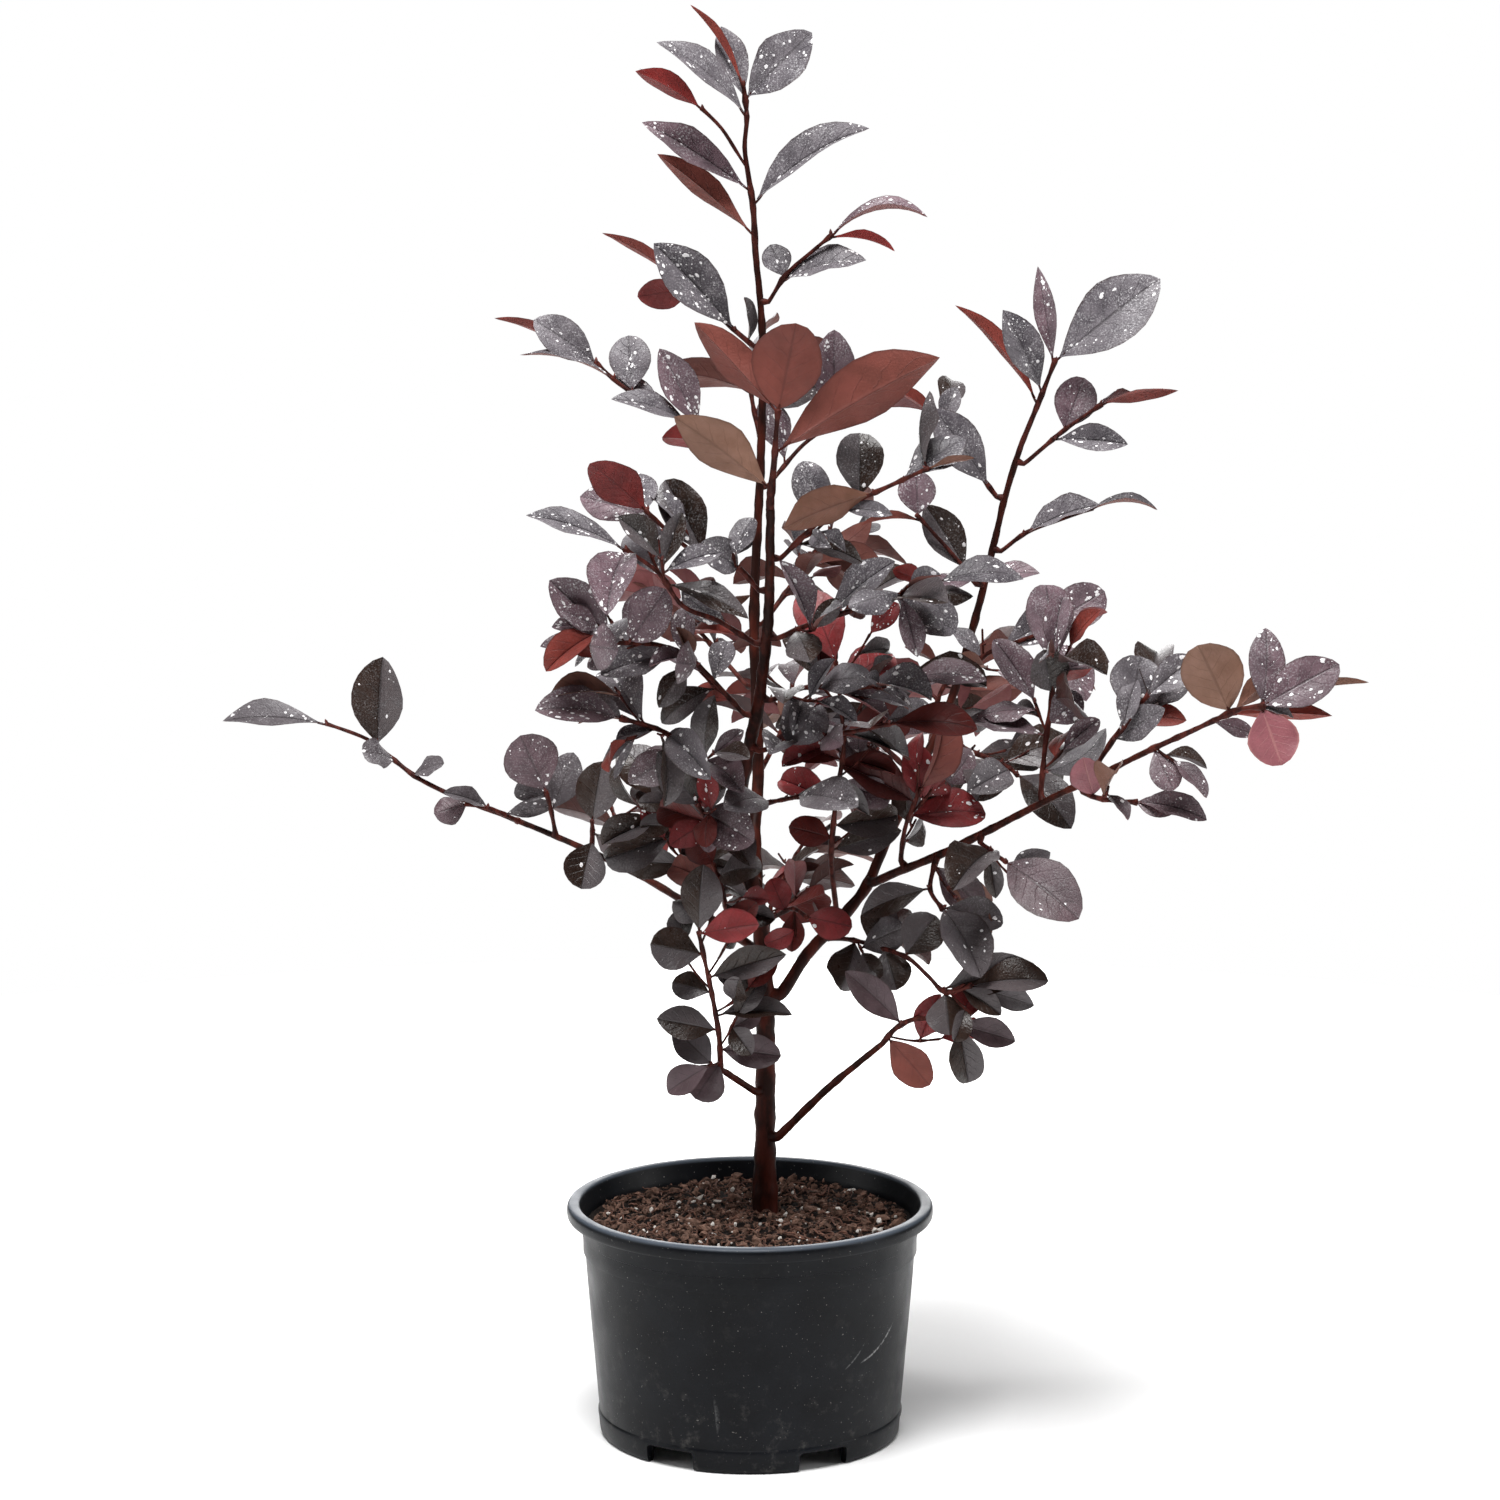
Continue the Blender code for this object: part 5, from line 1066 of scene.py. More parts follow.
def polypropylene_finish():
    """Black polypropylene, injection moulded: satin from a lightly worn mould, with dust near the foot.

    The eye sees a near-black body with a broad soft shine, a paler line along the lip that is a painted
    highlight, and rubs."""
    material, tree, shader, place = new_finish("black_polypropylene", 0.34, 1.49, 0.12)
    height = add(tree, "SeparateXYZ", {0: place}).outputs[2]
    flow = add(tree, "TexNoise", {"Vector": place, "Scale": per(26.0), "Detail": 3.0})
    flow = add(tree, "MapRange", {0: flow, 1: 0.35, 2: 0.7})
    colour = add(tree, "Mix", {0: flow, 6: linear("#0b0c0f"), 7: linear("#121418")},
                 data_type="RGBA").outputs[2]
    # painted highlight: the crown of the lip, its top 2 mm, is painted a bluish grey for the light that it
    # reflects
    crown = add(tree, "MapRange", {0: height, 1: 107.2 * MM, 2: 108.8 * MM, 3: 0.0, 4: 0.62},
                interpolation_type="SMOOTHSTEP")
    colour = add(tree, "Mix", {0: crown, 6: colour, 7: linear("#5d6570")}, data_type="RGBA").outputs[2]
    # settled dust in patches of about 9 mm, thicker towards the foot, and single motes of about 1 mm
    dust = add(tree, "TexNoise", {"Vector": place, "Scale": per(9.0), "Detail": 6.0, "Roughness": 0.7})
    dust = add(tree, "MapRange", {0: dust, 1: 0.52, 2: 0.80}, interpolation_type="SMOOTHSTEP")
    low = add(tree, "MapRange", {0: height, 1: 4.0 * MM, 2: 58.0 * MM, 3: 0.30, 4: 0.05})
    low = add(tree, "Math", {0: dust, 1: low}, operation="MULTIPLY")
    colour = add(tree, "Mix", {0: low, 6: colour, 7: linear("#77736f")}, data_type="RGBA").outputs[2]
    motes = add(tree, "TexNoise", {"Vector": place, "Scale": per(1.1), "Detail": 2.0})
    motes = add(tree, "MapRange", {0: motes, 1: 0.71, 2: 0.76, 3: 0.0, 4: 0.35})
    colour = add(tree, "Mix", {0: motes, 6: colour, 7: linear("#a8a49f")}, data_type="RGBA").outputs[2]
    broken = add(tree, "TexNoise", {"Vector": place, "Scale": per(1.6), "Detail": 3.0})
    broken = add(tree, "MapRange", {0: broken, 1: 0.38, 2: 0.56})
    for centre, radius, width, toward, strength in RUBS:
        away = add(tree, "VectorMath", {0: place, 1: [c * MM for c in centre]}, operation="SUBTRACT")
        far = add(tree, "VectorMath", {0: away}, operation="LENGTH").outputs["Value"]
        off = add(tree, "Math", {0: far, 1: radius * MM}, operation="SUBTRACT")
        off = add(tree, "Math", {0: off}, operation="ABSOLUTE")
        ring = add(tree, "MapRange", {0: off, 1: 0.2 * width * MM, 2: width * MM, 3: 1.0, 4: 0.0})
        lean = add(tree, "VectorMath", {0: away, 1: toward}, operation="DOT_PRODUCT").outputs["Value"]
        arc = add(tree, "MapRange", {0: lean, 1: 0.945 * radius * MM, 2: 0.975 * radius * MM, 4: strength})
        mark = add(tree, "Math", {0: ring, 1: arc}, operation="MULTIPLY")
        mark = add(tree, "Math", {0: mark, 1: broken}, operation="MULTIPLY")
        colour = add(tree, "Mix", {0: mark, 6: colour, 7: linear("#8f8f8f")}, data_type="RGBA").outputs[2]
    gloss = add(tree, "TexNoise", {"Vector": place, "Scale": per(14.0), "Detail": 4.0})
    gloss = add(tree, "MapRange", {0: gloss, 1: 0.3, 2: 0.7, 3: 0.29, 4: 0.42})
    # a moulded wall is never quite even: waves of about 18 mm under a grain of half a millimetre
    fine = add(tree, "TexNoise", {"Vector": place, "Scale": per(0.5), "Detail": 2.0})
    waves = add(tree, "TexNoise", {"Vector": place, "Scale": per(18.0), "Detail": 2.0})
    relief = add(tree, "Math", {0: waves, 1: 2.0, 2: fine}, operation="MULTIPLY_ADD")
    bump = add(tree, "Bump", {"Strength": 0.20, "Distance": 0.25 * MM, "Height": relief})
    feed(tree, shader, {"Base Color": colour, "Normal": bump, "Roughness": gloss})
    return material


def peat_finish(name, low, high):
    """Moist peat and composted bark, milled and heaped: matt brown crumbs of many shades."""
    material, tree, shader, place = new_finish(name, 0.93, 1.4, 0.22)
    # a low tint gives a dark colour: on the crumbs it is painted shade that deepens the lower they sit
    tint = add(tree, "Attribute", attribute_name="tint").outputs["Fac"]
    crumbs = add(tree, "TexNoise", {"Vector": place, "Scale": per(2.4), "Detail": 4.0})
    crumbs = add(tree, "MapRange", {0: crumbs, 1: 0.36, 2: 0.66, 3: -0.12, 4: 0.40})
    share = add(tree, "Math", {0: tint, 1: 0.70, 2: crumbs}, operation="MULTIPLY_ADD")
    colour = add(tree, "Mix", {0: share, 6: linear(low), 7: linear(high)}, data_type="RGBA").outputs[2]
    grit = add(tree, "TexNoise", {"Vector": place, "Scale": per(0.8), "Detail": 5.0, "Roughness": 0.7})
    bump = add(tree, "Bump", {"Strength": 1.0, "Distance": 0.9 * MM, "Height": grit})
    feed(tree, shader, {"Base Color": colour, "Normal": bump})
    return material


def plain_finish(name, base, second, roughness, blot_mm):
    """Bud scales, dried limescale, expanded perlite or peat fibre: matt, as they grew, dried or were blown,
    in two close shades with blots of the given size."""
    material, tree, shader, place = new_finish(name, roughness, 1.45, 0.4)
    blots = add(tree, "TexNoise", {"Vector": place, "Scale": per(blot_mm), "Detail": 3.0})
    share = add(tree, "MapRange", {0: blots, 1: 0.35, 2: 0.68})
    colour = add(tree, "Mix", {0: share, 6: linear(base), 7: linear(second)}, data_type="RGBA").outputs[2]
    bump = add(tree, "Bump", {"Strength": 0.3, "Distance": 0.2 * MM, "Height": blots})
    feed(tree, shader, {"Base Color": colour, "Normal": bump})
    return material


class Heap:
    """Gathers many small forms that make one piece."""

    def __init__(self):
        self.points = []
        self.faces = []
        self.kinds = []
        self.uvs = []
        self.tints = []
        self.owners = set()

    def add(self, points, faces, kinds=None, uvs=None, tint=0.5):
        base = len(self.points)
        self.points += points
        self.faces += [tuple(base + i for i in face) for face in faces]
        self.kinds += kinds or [0] * len(faces)
        self.uvs += uvs or [(0.5, 0.5)] * len(points)
        self.tints += [tint] * len(points)

    def piece(self, name, materials, slot, sharp_angle=55.0):
        """One mesh object of all that was gathered, riding with the pot."""
        mesh = bpy.data.meshes.new(name)
        mesh.from_pydata([tuple(point * MM) for point in self.points], [], self.faces)
        for material in materials:
            mesh.materials.append(material)
        mesh.polygons.foreach_set("material_index", self.kinds)
        layer = mesh.uv_layers.new(name="blade")
        corners = []
        for loop in mesh.loops:
            corners += self.uvs[loop.vertex_index]
        layer.data.foreach_set("uv", corners)
        tint = mesh.attributes.new("tint", "FLOAT", "POINT")
        tint.data.foreach_set("value", self.tints)
        mesh.update()
        item = bpy.data.objects.new(name, mesh)
        bpy.context.scene.collection.objects.link(item)
        select_only(item)
        bpy.ops.object.shade_smooth_by_angle(angle=math.radians(sharp_angle))
        item.select_set(False)
        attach(item, "root")
        if self.owners:
            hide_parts(*sorted(self.owners))


# Blades. Shares are of the blade's length, or of half its width. Ranges are drawn from for each leaf.
# FOLDED_UP is the chance that a leaf folds upward. The others fold down, by half as much.
BLADE_STATIONS = (0.0, 0.045, 0.12, 0.22, 0.34, 0.46, 0.58, 0.69, 0.79, 0.88, 0.955)
ACROSS = (-1.0, -0.66, -0.30, 0.0, 0.30, 0.66, 1.0)
BLADE_THICKNESS = 0.42
STALK_SHARE = 0.05
RIB_HEIGHT = 0.30
LEAST_HALF = 0.45
NARROW_LEAF = 0.42
BROAD_LEAF_MORE = 0.28
POINT = (0.50, 0.92)
POINT_OF_NARROW = 0.86
POINT_LOSS = 0.34
POINT_STRAY = 0.06
BASE_MORE = (0.18, 0.42)
WIDEST = (1.0, 1.22)
FOLD_LEAST = 6
FOLD_MOST = 38
FOLD_MOST_AIMED = 26
FOLD_OF_NARROW = 20
UNFOLDED_FROM = 0.8
FOLDED_UP = 0.9
FOLDED_DOWN = -0.5
CUP = (0.02, 0.26)
WAVE = (0.03, 0.15)
WAVES = (1.2, 2.4)
EDGE_LAG = 1.4
TWIST = 14
BOW = 0.035
HOOK = (0.0, 0.12)
AIMED_CALM = 0.5
TINT = (0.5, 0.28)
TONE_MIX = {
    "slate": (("slate", 0.60), ("mauve", 0.18), ("dark", 0.12), ("brown", 0.05), ("rust", 0.05)),
    "mauve": (("mauve", 0.52), ("slate", 0.20), ("dark", 0.14), ("rust", 0.07), ("brown", 0.07)),
    "dark": (("dark", 0.66), ("slate", 0.12), ("mauve", 0.08), ("red", 0.06), ("wine", 0.08)),
    "red": (("red", 0.40), ("dark", 0.26), ("wine", 0.14), ("mauve", 0.10), ("brick", 0.10)),
    "under": (("brick", 1.0),),
}
BARE_TONES = ("brick", "brown", "tan", "rust", "pink", "wine")
SLOTS = {"slate": "leaf_slate", "mauve": "leaf_mauve", "dark": "leaf_dark", "red": "leaf_red",
         "rust": "leaf_red", "wine": "leaf_red", "pink": "leaf_mauve", "brick": "leaf_under",
         "brown": "leaf_under", "tan": "leaf_under"}


class Blade:
    """One living leaf: its spine, outline, fold, cup, wave and twist.

    The outline is a half sine, raised to the power of base below its widest place and of point above it:
    the lower the power, the blunter the end. A leaf that was aimed lies calmer than the others."""

    def __init__(self, leaf, rng):
        self.leaf = leaf
        self.side = leaf.axis.cross(leaf.up).normalized()
        self.half = 0.5 * leaf.wide * leaf.length
        bluntness = (leaf.wide - NARROW_LEAF) / BROAD_LEAF_MORE
        point = POINT_OF_NARROW - POINT_LOSS * bluntness + rng.uniform(-POINT_STRAY, POINT_STRAY)
        self.point = min(POINT[1], max(POINT[0], point))
        self.base = self.point + rng.uniform(*BASE_MORE)
        self.widest = rng.uniform(*WIDEST)
        calm = AIMED_CALM if leaf.is_aimed else 1.0
        narrow = 1.0 - min(1.0, leaf.wide / UNFOLDED_FROM)
        keenest = FOLD_MOST_AIMED if leaf.is_aimed else FOLD_MOST
        fold = rng.uniform(FOLD_LEAST, keenest) + FOLD_OF_NARROW * narrow
        self.fold = math.radians(fold * (1 if rng.random() < FOLDED_UP else FOLDED_DOWN))
        self.cup = rng.uniform(*CUP)
        self.wave = rng.uniform(*WAVE)
        self.turns = rng.uniform(*WAVES)
        self.phase = rng.uniform(0, 2 * math.pi)
        self.twist = math.radians(rng.gauss(0, TWIST)) * calm
        self.bow = rng.gauss(0, BOW) * calm
        self.hook = rng.uniform(*HOOK) * calm
        self.tint = min(1.0, max(0.0, rng.gauss(*TINT)))

    def breadth(self, run):
        """Half width of the outline at a share of the blade's length."""
        turn = min(run, 1.0) ** self.widest
        return self.half * max(0.0, math.sin(math.pi * turn)) ** (self.base if turn < 0.5 else self.point)

    def at(self, run, offset):
        """Point on the upper skin and its upward direction."""
        leaf = self.leaf
        bend = math.radians(leaf.droop)
        blade = leaf.length * (1.0 - STALK_SHARE)
        angle = bend * run
        reach = math.sin(angle) / bend
        drop = (1.0 - math.cos(angle)) / bend
        place = leaf.joint + leaf.axis * (STALK_SHARE * leaf.length + reach * blade)
        place = place - leaf.up * drop * blade
        tangent = leaf.axis * math.cos(angle) - leaf.up * math.sin(angle)
        lift = leaf.up * math.cos(angle) + leaf.axis * math.sin(angle)
        turn = Matrix.Rotation(self.twist * run * run, 3, tangent)
        lift = turn @ lift
        side = turn @ self.side
        half = max(self.breadth(run), LEAST_HALF)
        spread = abs(offset)
        lag = EDGE_LAG if offset > 0 else 0.0
        rise = half * (math.tan(self.fold) * spread - self.cup * spread * spread)
        rise += half * self.wave * spread ** 3 * math.sin(self.turns * 2 * math.pi * run + self.phase + lag)
        rise -= self.hook * blade * run ** 4 * 0.5
        shift = half * offset * math.cos(self.fold) + self.bow * blade * run * run
        return place + side * shift + lift * rise, lift


def blade_form(blade):
    """Vertices, faces, face kinds and blade coordinates of one closed leaf."""
    points = []
    uvs = []
    columns = len(ACROSS)
    rows = len(BLADE_STATIONS)
    under = []
    for run in BLADE_STATIONS:
        for offset in ACROSS:
            points.append(blade.at(run, offset)[0])
            uvs.append((0.5 + 0.5 * offset, run))
    tip = len(points)
    points.append(blade.at(1.0, 0.0)[0])
    uvs.append((0.5, 1.0))
    for run in BLADE_STATIONS:
        row = []
        for offset in ACROSS[1:-1]:
            place, lift = blade.at(run, offset)
            deep = BLADE_THICKNESS + (RIB_HEIGHT * (1.0 - run) if offset == 0.0 else 0.0)
            row.append(len(points))
            points.append(place - lift * deep)
            uvs.append((0.5 + 0.5 * offset, run))
        under.append(row)

    def top(row, column):
        return row * columns + column

    def back(row, column):
        return top(row, column) if column in (0, columns - 1) else under[row][column - 1]

    faces = []
    kinds = []
    for row in range(rows - 1):
        for column in range(columns - 1):
            faces.append((top(row, column), top(row, column + 1), top(row + 1, column + 1),
                          top(row + 1, column)))
            faces.append((back(row, column), back(row + 1, column), back(row + 1, column + 1),
                          back(row, column + 1)))
            kinds += [0, 1]
    last = rows - 1
    for column in range(columns - 1):
        faces.append((top(last, column), top(last, column + 1), tip))
        faces.append((back(last, column + 1), back(last, column), tip))
        kinds += [0, 1]
    faces.append(tuple([back(0, column) for column in range(columns)]
                       + [top(0, column) for column in range(columns - 2, 0, -1)]))
    kinds.append(1)
    return points, faces, kinds, uvs


# Twigs, stalks and buds
TWIG_FINE_STEP = 3.2
TWIG_SIDES = 8
NODE_SWELL = 0.42
NODE_REACH = 2.4
TWIG_UNEVEN = 0.10
TWIG_WAVES = 0.35
SUNK_FOOT = 0.35
FOOT_WIDTH = 1.7
COLLAR_WIDTHS = (1.5, 1.12)
TIP_LENGTH = 0.5
TIP_WIDTH = 0.35
STALK_SIDES = 6
STALK_FINE_STEP = 1.6
STALK_RADIUS = 0.95
STALK_TAPER = 0.42
BUD_LENGTH = (1.8, 3.4)
BUD_RUN = (0.0, 0.25, 0.55, 0.8, 1.0)
BUD_RADII = (0.17, 0.27, 0.25, 0.14, 0.03)
BUDDED_FROM = 24


def resample(route, radii, spacing):
    """A finer route with the radius at each of its points."""
    fine = smooth(route, spacing)
    total = len(fine) - 1
    last = len(radii) - 1
    widths = []
    for index in range(total + 1):
        share = index / total * last
        low = min(int(share), last - 1)
        widths.append(radii[low] + (radii[low + 1] - radii[low]) * (share - low))
    return fine, widths


def twig_form(heap, shoot, route, radii, leaves, is_stem, grown):
    """A twig with swollen nodes where its leaves stand, let into the limb that it grows from."""
    fine, widths = resample(route, radii, TWIG_FINE_STEP)
    lengths = [0.0]
    for a, b in zip(fine, fine[1:]):
        lengths.append(lengths[-1] + (b - a).length)
    total = lengths[-1]
    for index, length in enumerate(lengths):
        for leaf in leaves:
            away = (length - leaf.at * total) / NODE_REACH
            widths[index] += NODE_SWELL * math.exp(-away * away) * min(1.0, widths[index])
        widths[index] *= 1.0 + TWIG_UNEVEN * noise.noise(fine[index] * TWIG_WAVES)
    if is_stem:
        place, axis = along(grown[shoot.limb][0], shoot.at)
        if shoot.at < 1.0:
            fine[0:0] = [place + (fine[0] - place) * SUNK_FOOT]
            widths[0:0] = [widths[0] * FOOT_WIDTH]
            widths[1] *= COLLAR_WIDTHS[0]
            widths[2] *= COLLAR_WIDTHS[1]
        else:
            fine[0:0] = [place - axis * 2.0]
            widths[0:0] = [widths[0]]
    fine.append(fine[-1] + (fine[-1] - fine[-2]).normalized() * TIP_LENGTH)
    widths.append(widths[-1] * TIP_WIDTH)
    heap.add(*tube(fine, widths, TWIG_SIDES))


def stalk_form(heap, leaf, tint):
    """The leaf stalk, from inside the twig to just inside the blade."""
    start = leaf.joint
    end = leaf.joint + leaf.axis * (STALK_SHARE + 0.05) * leaf.length - leaf.up * 0.25
    middle = (start + end) * 0.5 - leaf.up * 0.008 * leaf.length
    route = smooth([start, middle, end], STALK_FINE_STEP)
    count = len(route) - 1
    widths = [STALK_RADIUS - STALK_TAPER * min(1.0, 2.2 * i / count) for i in range(count + 1)]
    widths = [w * min(1.0, 0.6 + leaf.length / 110.0) for w in widths]
    heap.add(*tube(route, widths, STALK_SIDES), tint=tint)


def bud_form(heap, leaf, rng):
    """A small pointed axil bud between stalk and twig."""
    base = leaf.joint + leaf.axis * 0.4
    lean = (leaf.axis * 0.6 + leaf.up * 0.8 + Vector((0, 0, 0.4))).normalized()
    length = rng.uniform(*BUD_LENGTH)
    route = [base + lean * length * share for share in BUD_RUN]
    widths = [length * share for share in BUD_RADII]
    heap.add(*tube(route, widths, STALK_SIDES), tint=rng.random())


# Dried water spots: none below the first height in mm, and as thick as they get from the second up
SPOTTED_FROM = 225.0
SPOTTED_ABOVE = 370.0
SPOTS_PER_AREA = 0.085
SPOT_RUN = (0.05, 0.95)
SPOT_OFFSET = 0.88
CLUMPS_ALONG = 3.1
CLUMPS_ACROSS = 1.6
CLUMP_STRAY = 0.28
CLUMP_LEAST = 0.02
SPOT_LEAST = 0.20
SPOT_MORE = 0.75
SPOT_STRETCH = (0.8, 1.9)
SPOT_EDGE = (0.75, 1.2)
SPOT_CORNERS = 6
SPOT_LIFT = 0.10
SPOT_CROWN = 0.13
SPOT_RISE = 0.16
SPOT_SUNK = 0.05
SPOTS_SHARE = (0.3, 1.5)
DARK_SPOTS = 0.25


def spots_form(heap, blade, rng, count):
    """Dried water spots: thin flat domes scattered in clumps over the upper skin."""
    clump = rng.uniform(0.0, 90.0)
    for index in range(count):
        run = rng.uniform(*SPOT_RUN)
        offset = rng.uniform(-SPOT_OFFSET, SPOT_OFFSET)
        here = Vector((run * CLUMPS_ALONG, offset * CLUMPS_ACROSS, clump))
        if noise.noise(here) + rng.uniform(-CLUMP_STRAY, CLUMP_STRAY) < CLUMP_LEAST:
            continue
        place = blade.at(run, offset)[0]
        ahead = blade.at(min(run + 0.02, 1.0), offset)[0] - place
        if ahead.length < 1e-4:
            continue
        right = blade.at(run, min(offset + 0.05, 1.0))[0] - place
        lift = right.cross(ahead)
        if lift.dot(blade.leaf.up) < 0:
            lift.negate()
        lift.normalize()
        forward = across(ahead, lift)
        sideways = forward.cross(lift)
        size = SPOT_LEAST + SPOT_MORE * rng.random() ** 3.0
        stretch = rng.uniform(*SPOT_STRETCH)
        turn = rng.uniform(0, math.pi)
        ring = []
        for corner in range(SPOT_CORNERS):
            angle = math.pi * corner / 3 + turn
            reach = size * rng.uniform(*SPOT_EDGE)
            out = forward * math.cos(angle) * reach * stretch + sideways * math.sin(angle) * reach
            ring.append(place + lift * SPOT_LIFT + out)
        crown = place + lift * (SPOT_CROWN + SPOT_RISE * size)
        sunk = place - lift * SPOT_SUNK
        edges = [(i, (i + 1) % SPOT_CORNERS) for i in range(SPOT_CORNERS)]
        heap.add(ring + [crown, sunk],
                 [(i, after, SPOT_CORNERS) for i, after in edges]
                 + [(after, i, SPOT_CORNERS + 1) for i, after in edges])


# Half section of the pot, as radius and height: from the axis under the floor, down and round the foot
# ring, up the wall over the two step lines, round the rolled lip, down the inside and back to the axis
POT_PROFILE = (
    (2.0, 9.5), (40.0, 9.5), (64.6, 9.5), (65.2, 9.0), (65.6, 1.0), (66.0, 0.0), (68.3, 0.0), (69.3, 0.35),
    (70.0, 1.3), (70.35, 2.6), (70.7, 5.0), (70.95, 8.5), (71.0, 10.2), (70.75, 10.8), (70.4, 11.3),
    (71.7, 26.5), (73.0, 42.0), (74.35, 57.5), (75.6, 72.5), (76.55, 85.5), (76.6, 85.9), (77.4, 86.1),
    (77.55, 86.5), (77.6, 91.0), (77.62, 93.7), (77.95, 93.9), (78.0, 94.3), (78.0, 100.9), (78.3, 101.8),
    (79.2, 102.1), (83.2, 102.1), (84.3, 102.4), (84.8, 103.1), (85.0, 104.2), (85.0, 106.2), (84.8, 107.3),
    (84.3, 108.2), (83.5, 108.8), (82.6, 109.0), (80.6, 109.0), (79.8, 108.7), (79.2, 107.9), (78.7, 106.4),
    (77.1, 101.6), (76.5, 100.0), (75.9, 93.0), (75.3, 85.9), (72.1, 49.6), (68.9, 13.3), (67.3, 11.9),
    (30.0, 11.9), (2.0, 11.9))
WELD = 0.01
NOTCH_ROUNDING = 1.8

# Peat bed, and what lies on it
SOIL_INSET = WALL + GAP * 1.3
CRUMB_ROOM = 0.8
MOUND = SOIL_TOP - CRUMB_ROOM - SOIL_EDGE
BED_AXIS = 2.0
BED_FLOOR = 12.2
BED_FOOT = (1.8, 13.5)
BED_STEPS = 160
BED_RINGS = 46
OPEN_TOP_FROM = 98.0
OPEN_TOP_EDGE = 0.5
OPEN_TOP_FADE = 3.0
# name, size and height of each relief on the open top
BED_RELIEF = (("lumps", 12.0, 5.0), ("crumb", 5.0, 4.4), ("grit", 2.2, 1.4))
ABOVE_SOIL = 130.0
CRUMBS = 2400
CLODS = 520
LUMP_SPREAD = 74.0
LUMP_LIFT = (-0.25, 0.5)
LUMP_ROUGH = (0.60, 1.30)
CLEAR_OF_TRUNK = 5.5
PERLITE_GRAINS = 190
PERLITE_SPREAD = 72.0
PERLITE_LIFT = (0.8, 2.0)
SOIL_FIBRES = 560
FIBRE_SPREAD = 68.0
FIBRE_EDGE = 73.0
FIBRE_LENGTH = (3.0, 12.0)
FIBRE_POINTS = 5
FIBRE_BEND = 0.5
FIBRE_LIFT = (0.3, 1.8)
FIBRE_RADIUS = (0.14, 0.45)
FIBRE_SIDES = 5


def select_only(item):
    """Makes one object the only selected and active one."""
    bpy.ops.object.select_all(action="DESELECT")
    item.select_set(True)
    bpy.context.view_layer.objects.active = item


def pick(item, test):
    """In edit mode, leaves just the vertices selected that pass a test on their place in mm."""
    bpy.ops.object.mode_set(mode="OBJECT")
    for vertex in item.data.vertices:
        vertex.select = test(vertex.co / MM)
    for edge in item.data.edges:
        edge.select = all(item.data.vertices[i].select for i in edge.vertices)
    for face in item.data.polygons:
        face.select = all(item.data.vertices[i].select for i in face.vertices)
    bpy.ops.object.mode_set(mode="EDIT")


def turned_shell(name, profile, steps):
    """A ring of edges extruded along a half section, both ends drawn together on the axis."""
    radius, height = profile[0]
    bpy.ops.mesh.primitive_circle_add(vertices=steps, radius=radius * MM, location=(0, 0, height * MM))
    item = bpy.context.object
    item.name = item.data.name = name
    bpy.ops.object.transform_apply(location=True, rotation=True, scale=True)
    bpy.ops.object.mode_set(mode="EDIT")
    bpy.ops.mesh.select_all(action="SELECT")
    for wider, higher in profile[1:]:
        bpy.ops.mesh.extrude_edges_move(
            TRANSFORM_OT_translate={"value": (0, 0, (higher - height) * MM)})
        bpy.ops.transform.resize(value=(wider / radius, wider / radius, 1),
                                 center_override=(0, 0, higher * MM))
        radius, height = wider, higher
    bpy.ops.mesh.extrude_edges_move(TRANSFORM_OT_translate={"value": (0, 0, 0)})
    bpy.ops.mesh.merge(type="CENTER")
    first_radius, first_height = profile[0]
    pick(item, lambda p: math.hypot(p.x, p.y) < first_radius + WELD and abs(p.z - first_height) < WELD)
    bpy.ops.mesh.extrude_edges_move(TRANSFORM_OT_translate={"value": (0, 0, 0)})
    bpy.ops.mesh.merge(type="CENTER")
    bpy.ops.mesh.select_all(action="SELECT")
    bpy.ops.mesh.remove_doubles(threshold=WELD * MM)
    bpy.ops.mesh.normals_make_consistent(inside=False)
    bpy.ops.object.mode_set(mode="OBJECT")
    return item


def apply_all(item):
    """Keeps the shape that the modifiers give."""
    select_only(item)
    for modifier in list(item.modifiers):
        bpy.ops.object.modifier_apply(modifier=modifier.name)


def roughen(item, label, size, strength, group=""):
    """A live relief on an object, of lumps about as wide as size."""
    texture = bpy.data.textures.new(item.name + "_" + label, "CLOUDS")
    texture.noise_scale = size * MM
    texture.noise_depth = 2
    relief = item.modifiers.new(label, "DISPLACE")
    relief.texture = texture
    relief.texture_coords = "LOCAL"
    relief.direction = "Z" if group else "NORMAL"
    relief.vertex_group = group
    relief.mid_level = 0.5
    relief.strength = strength * MM


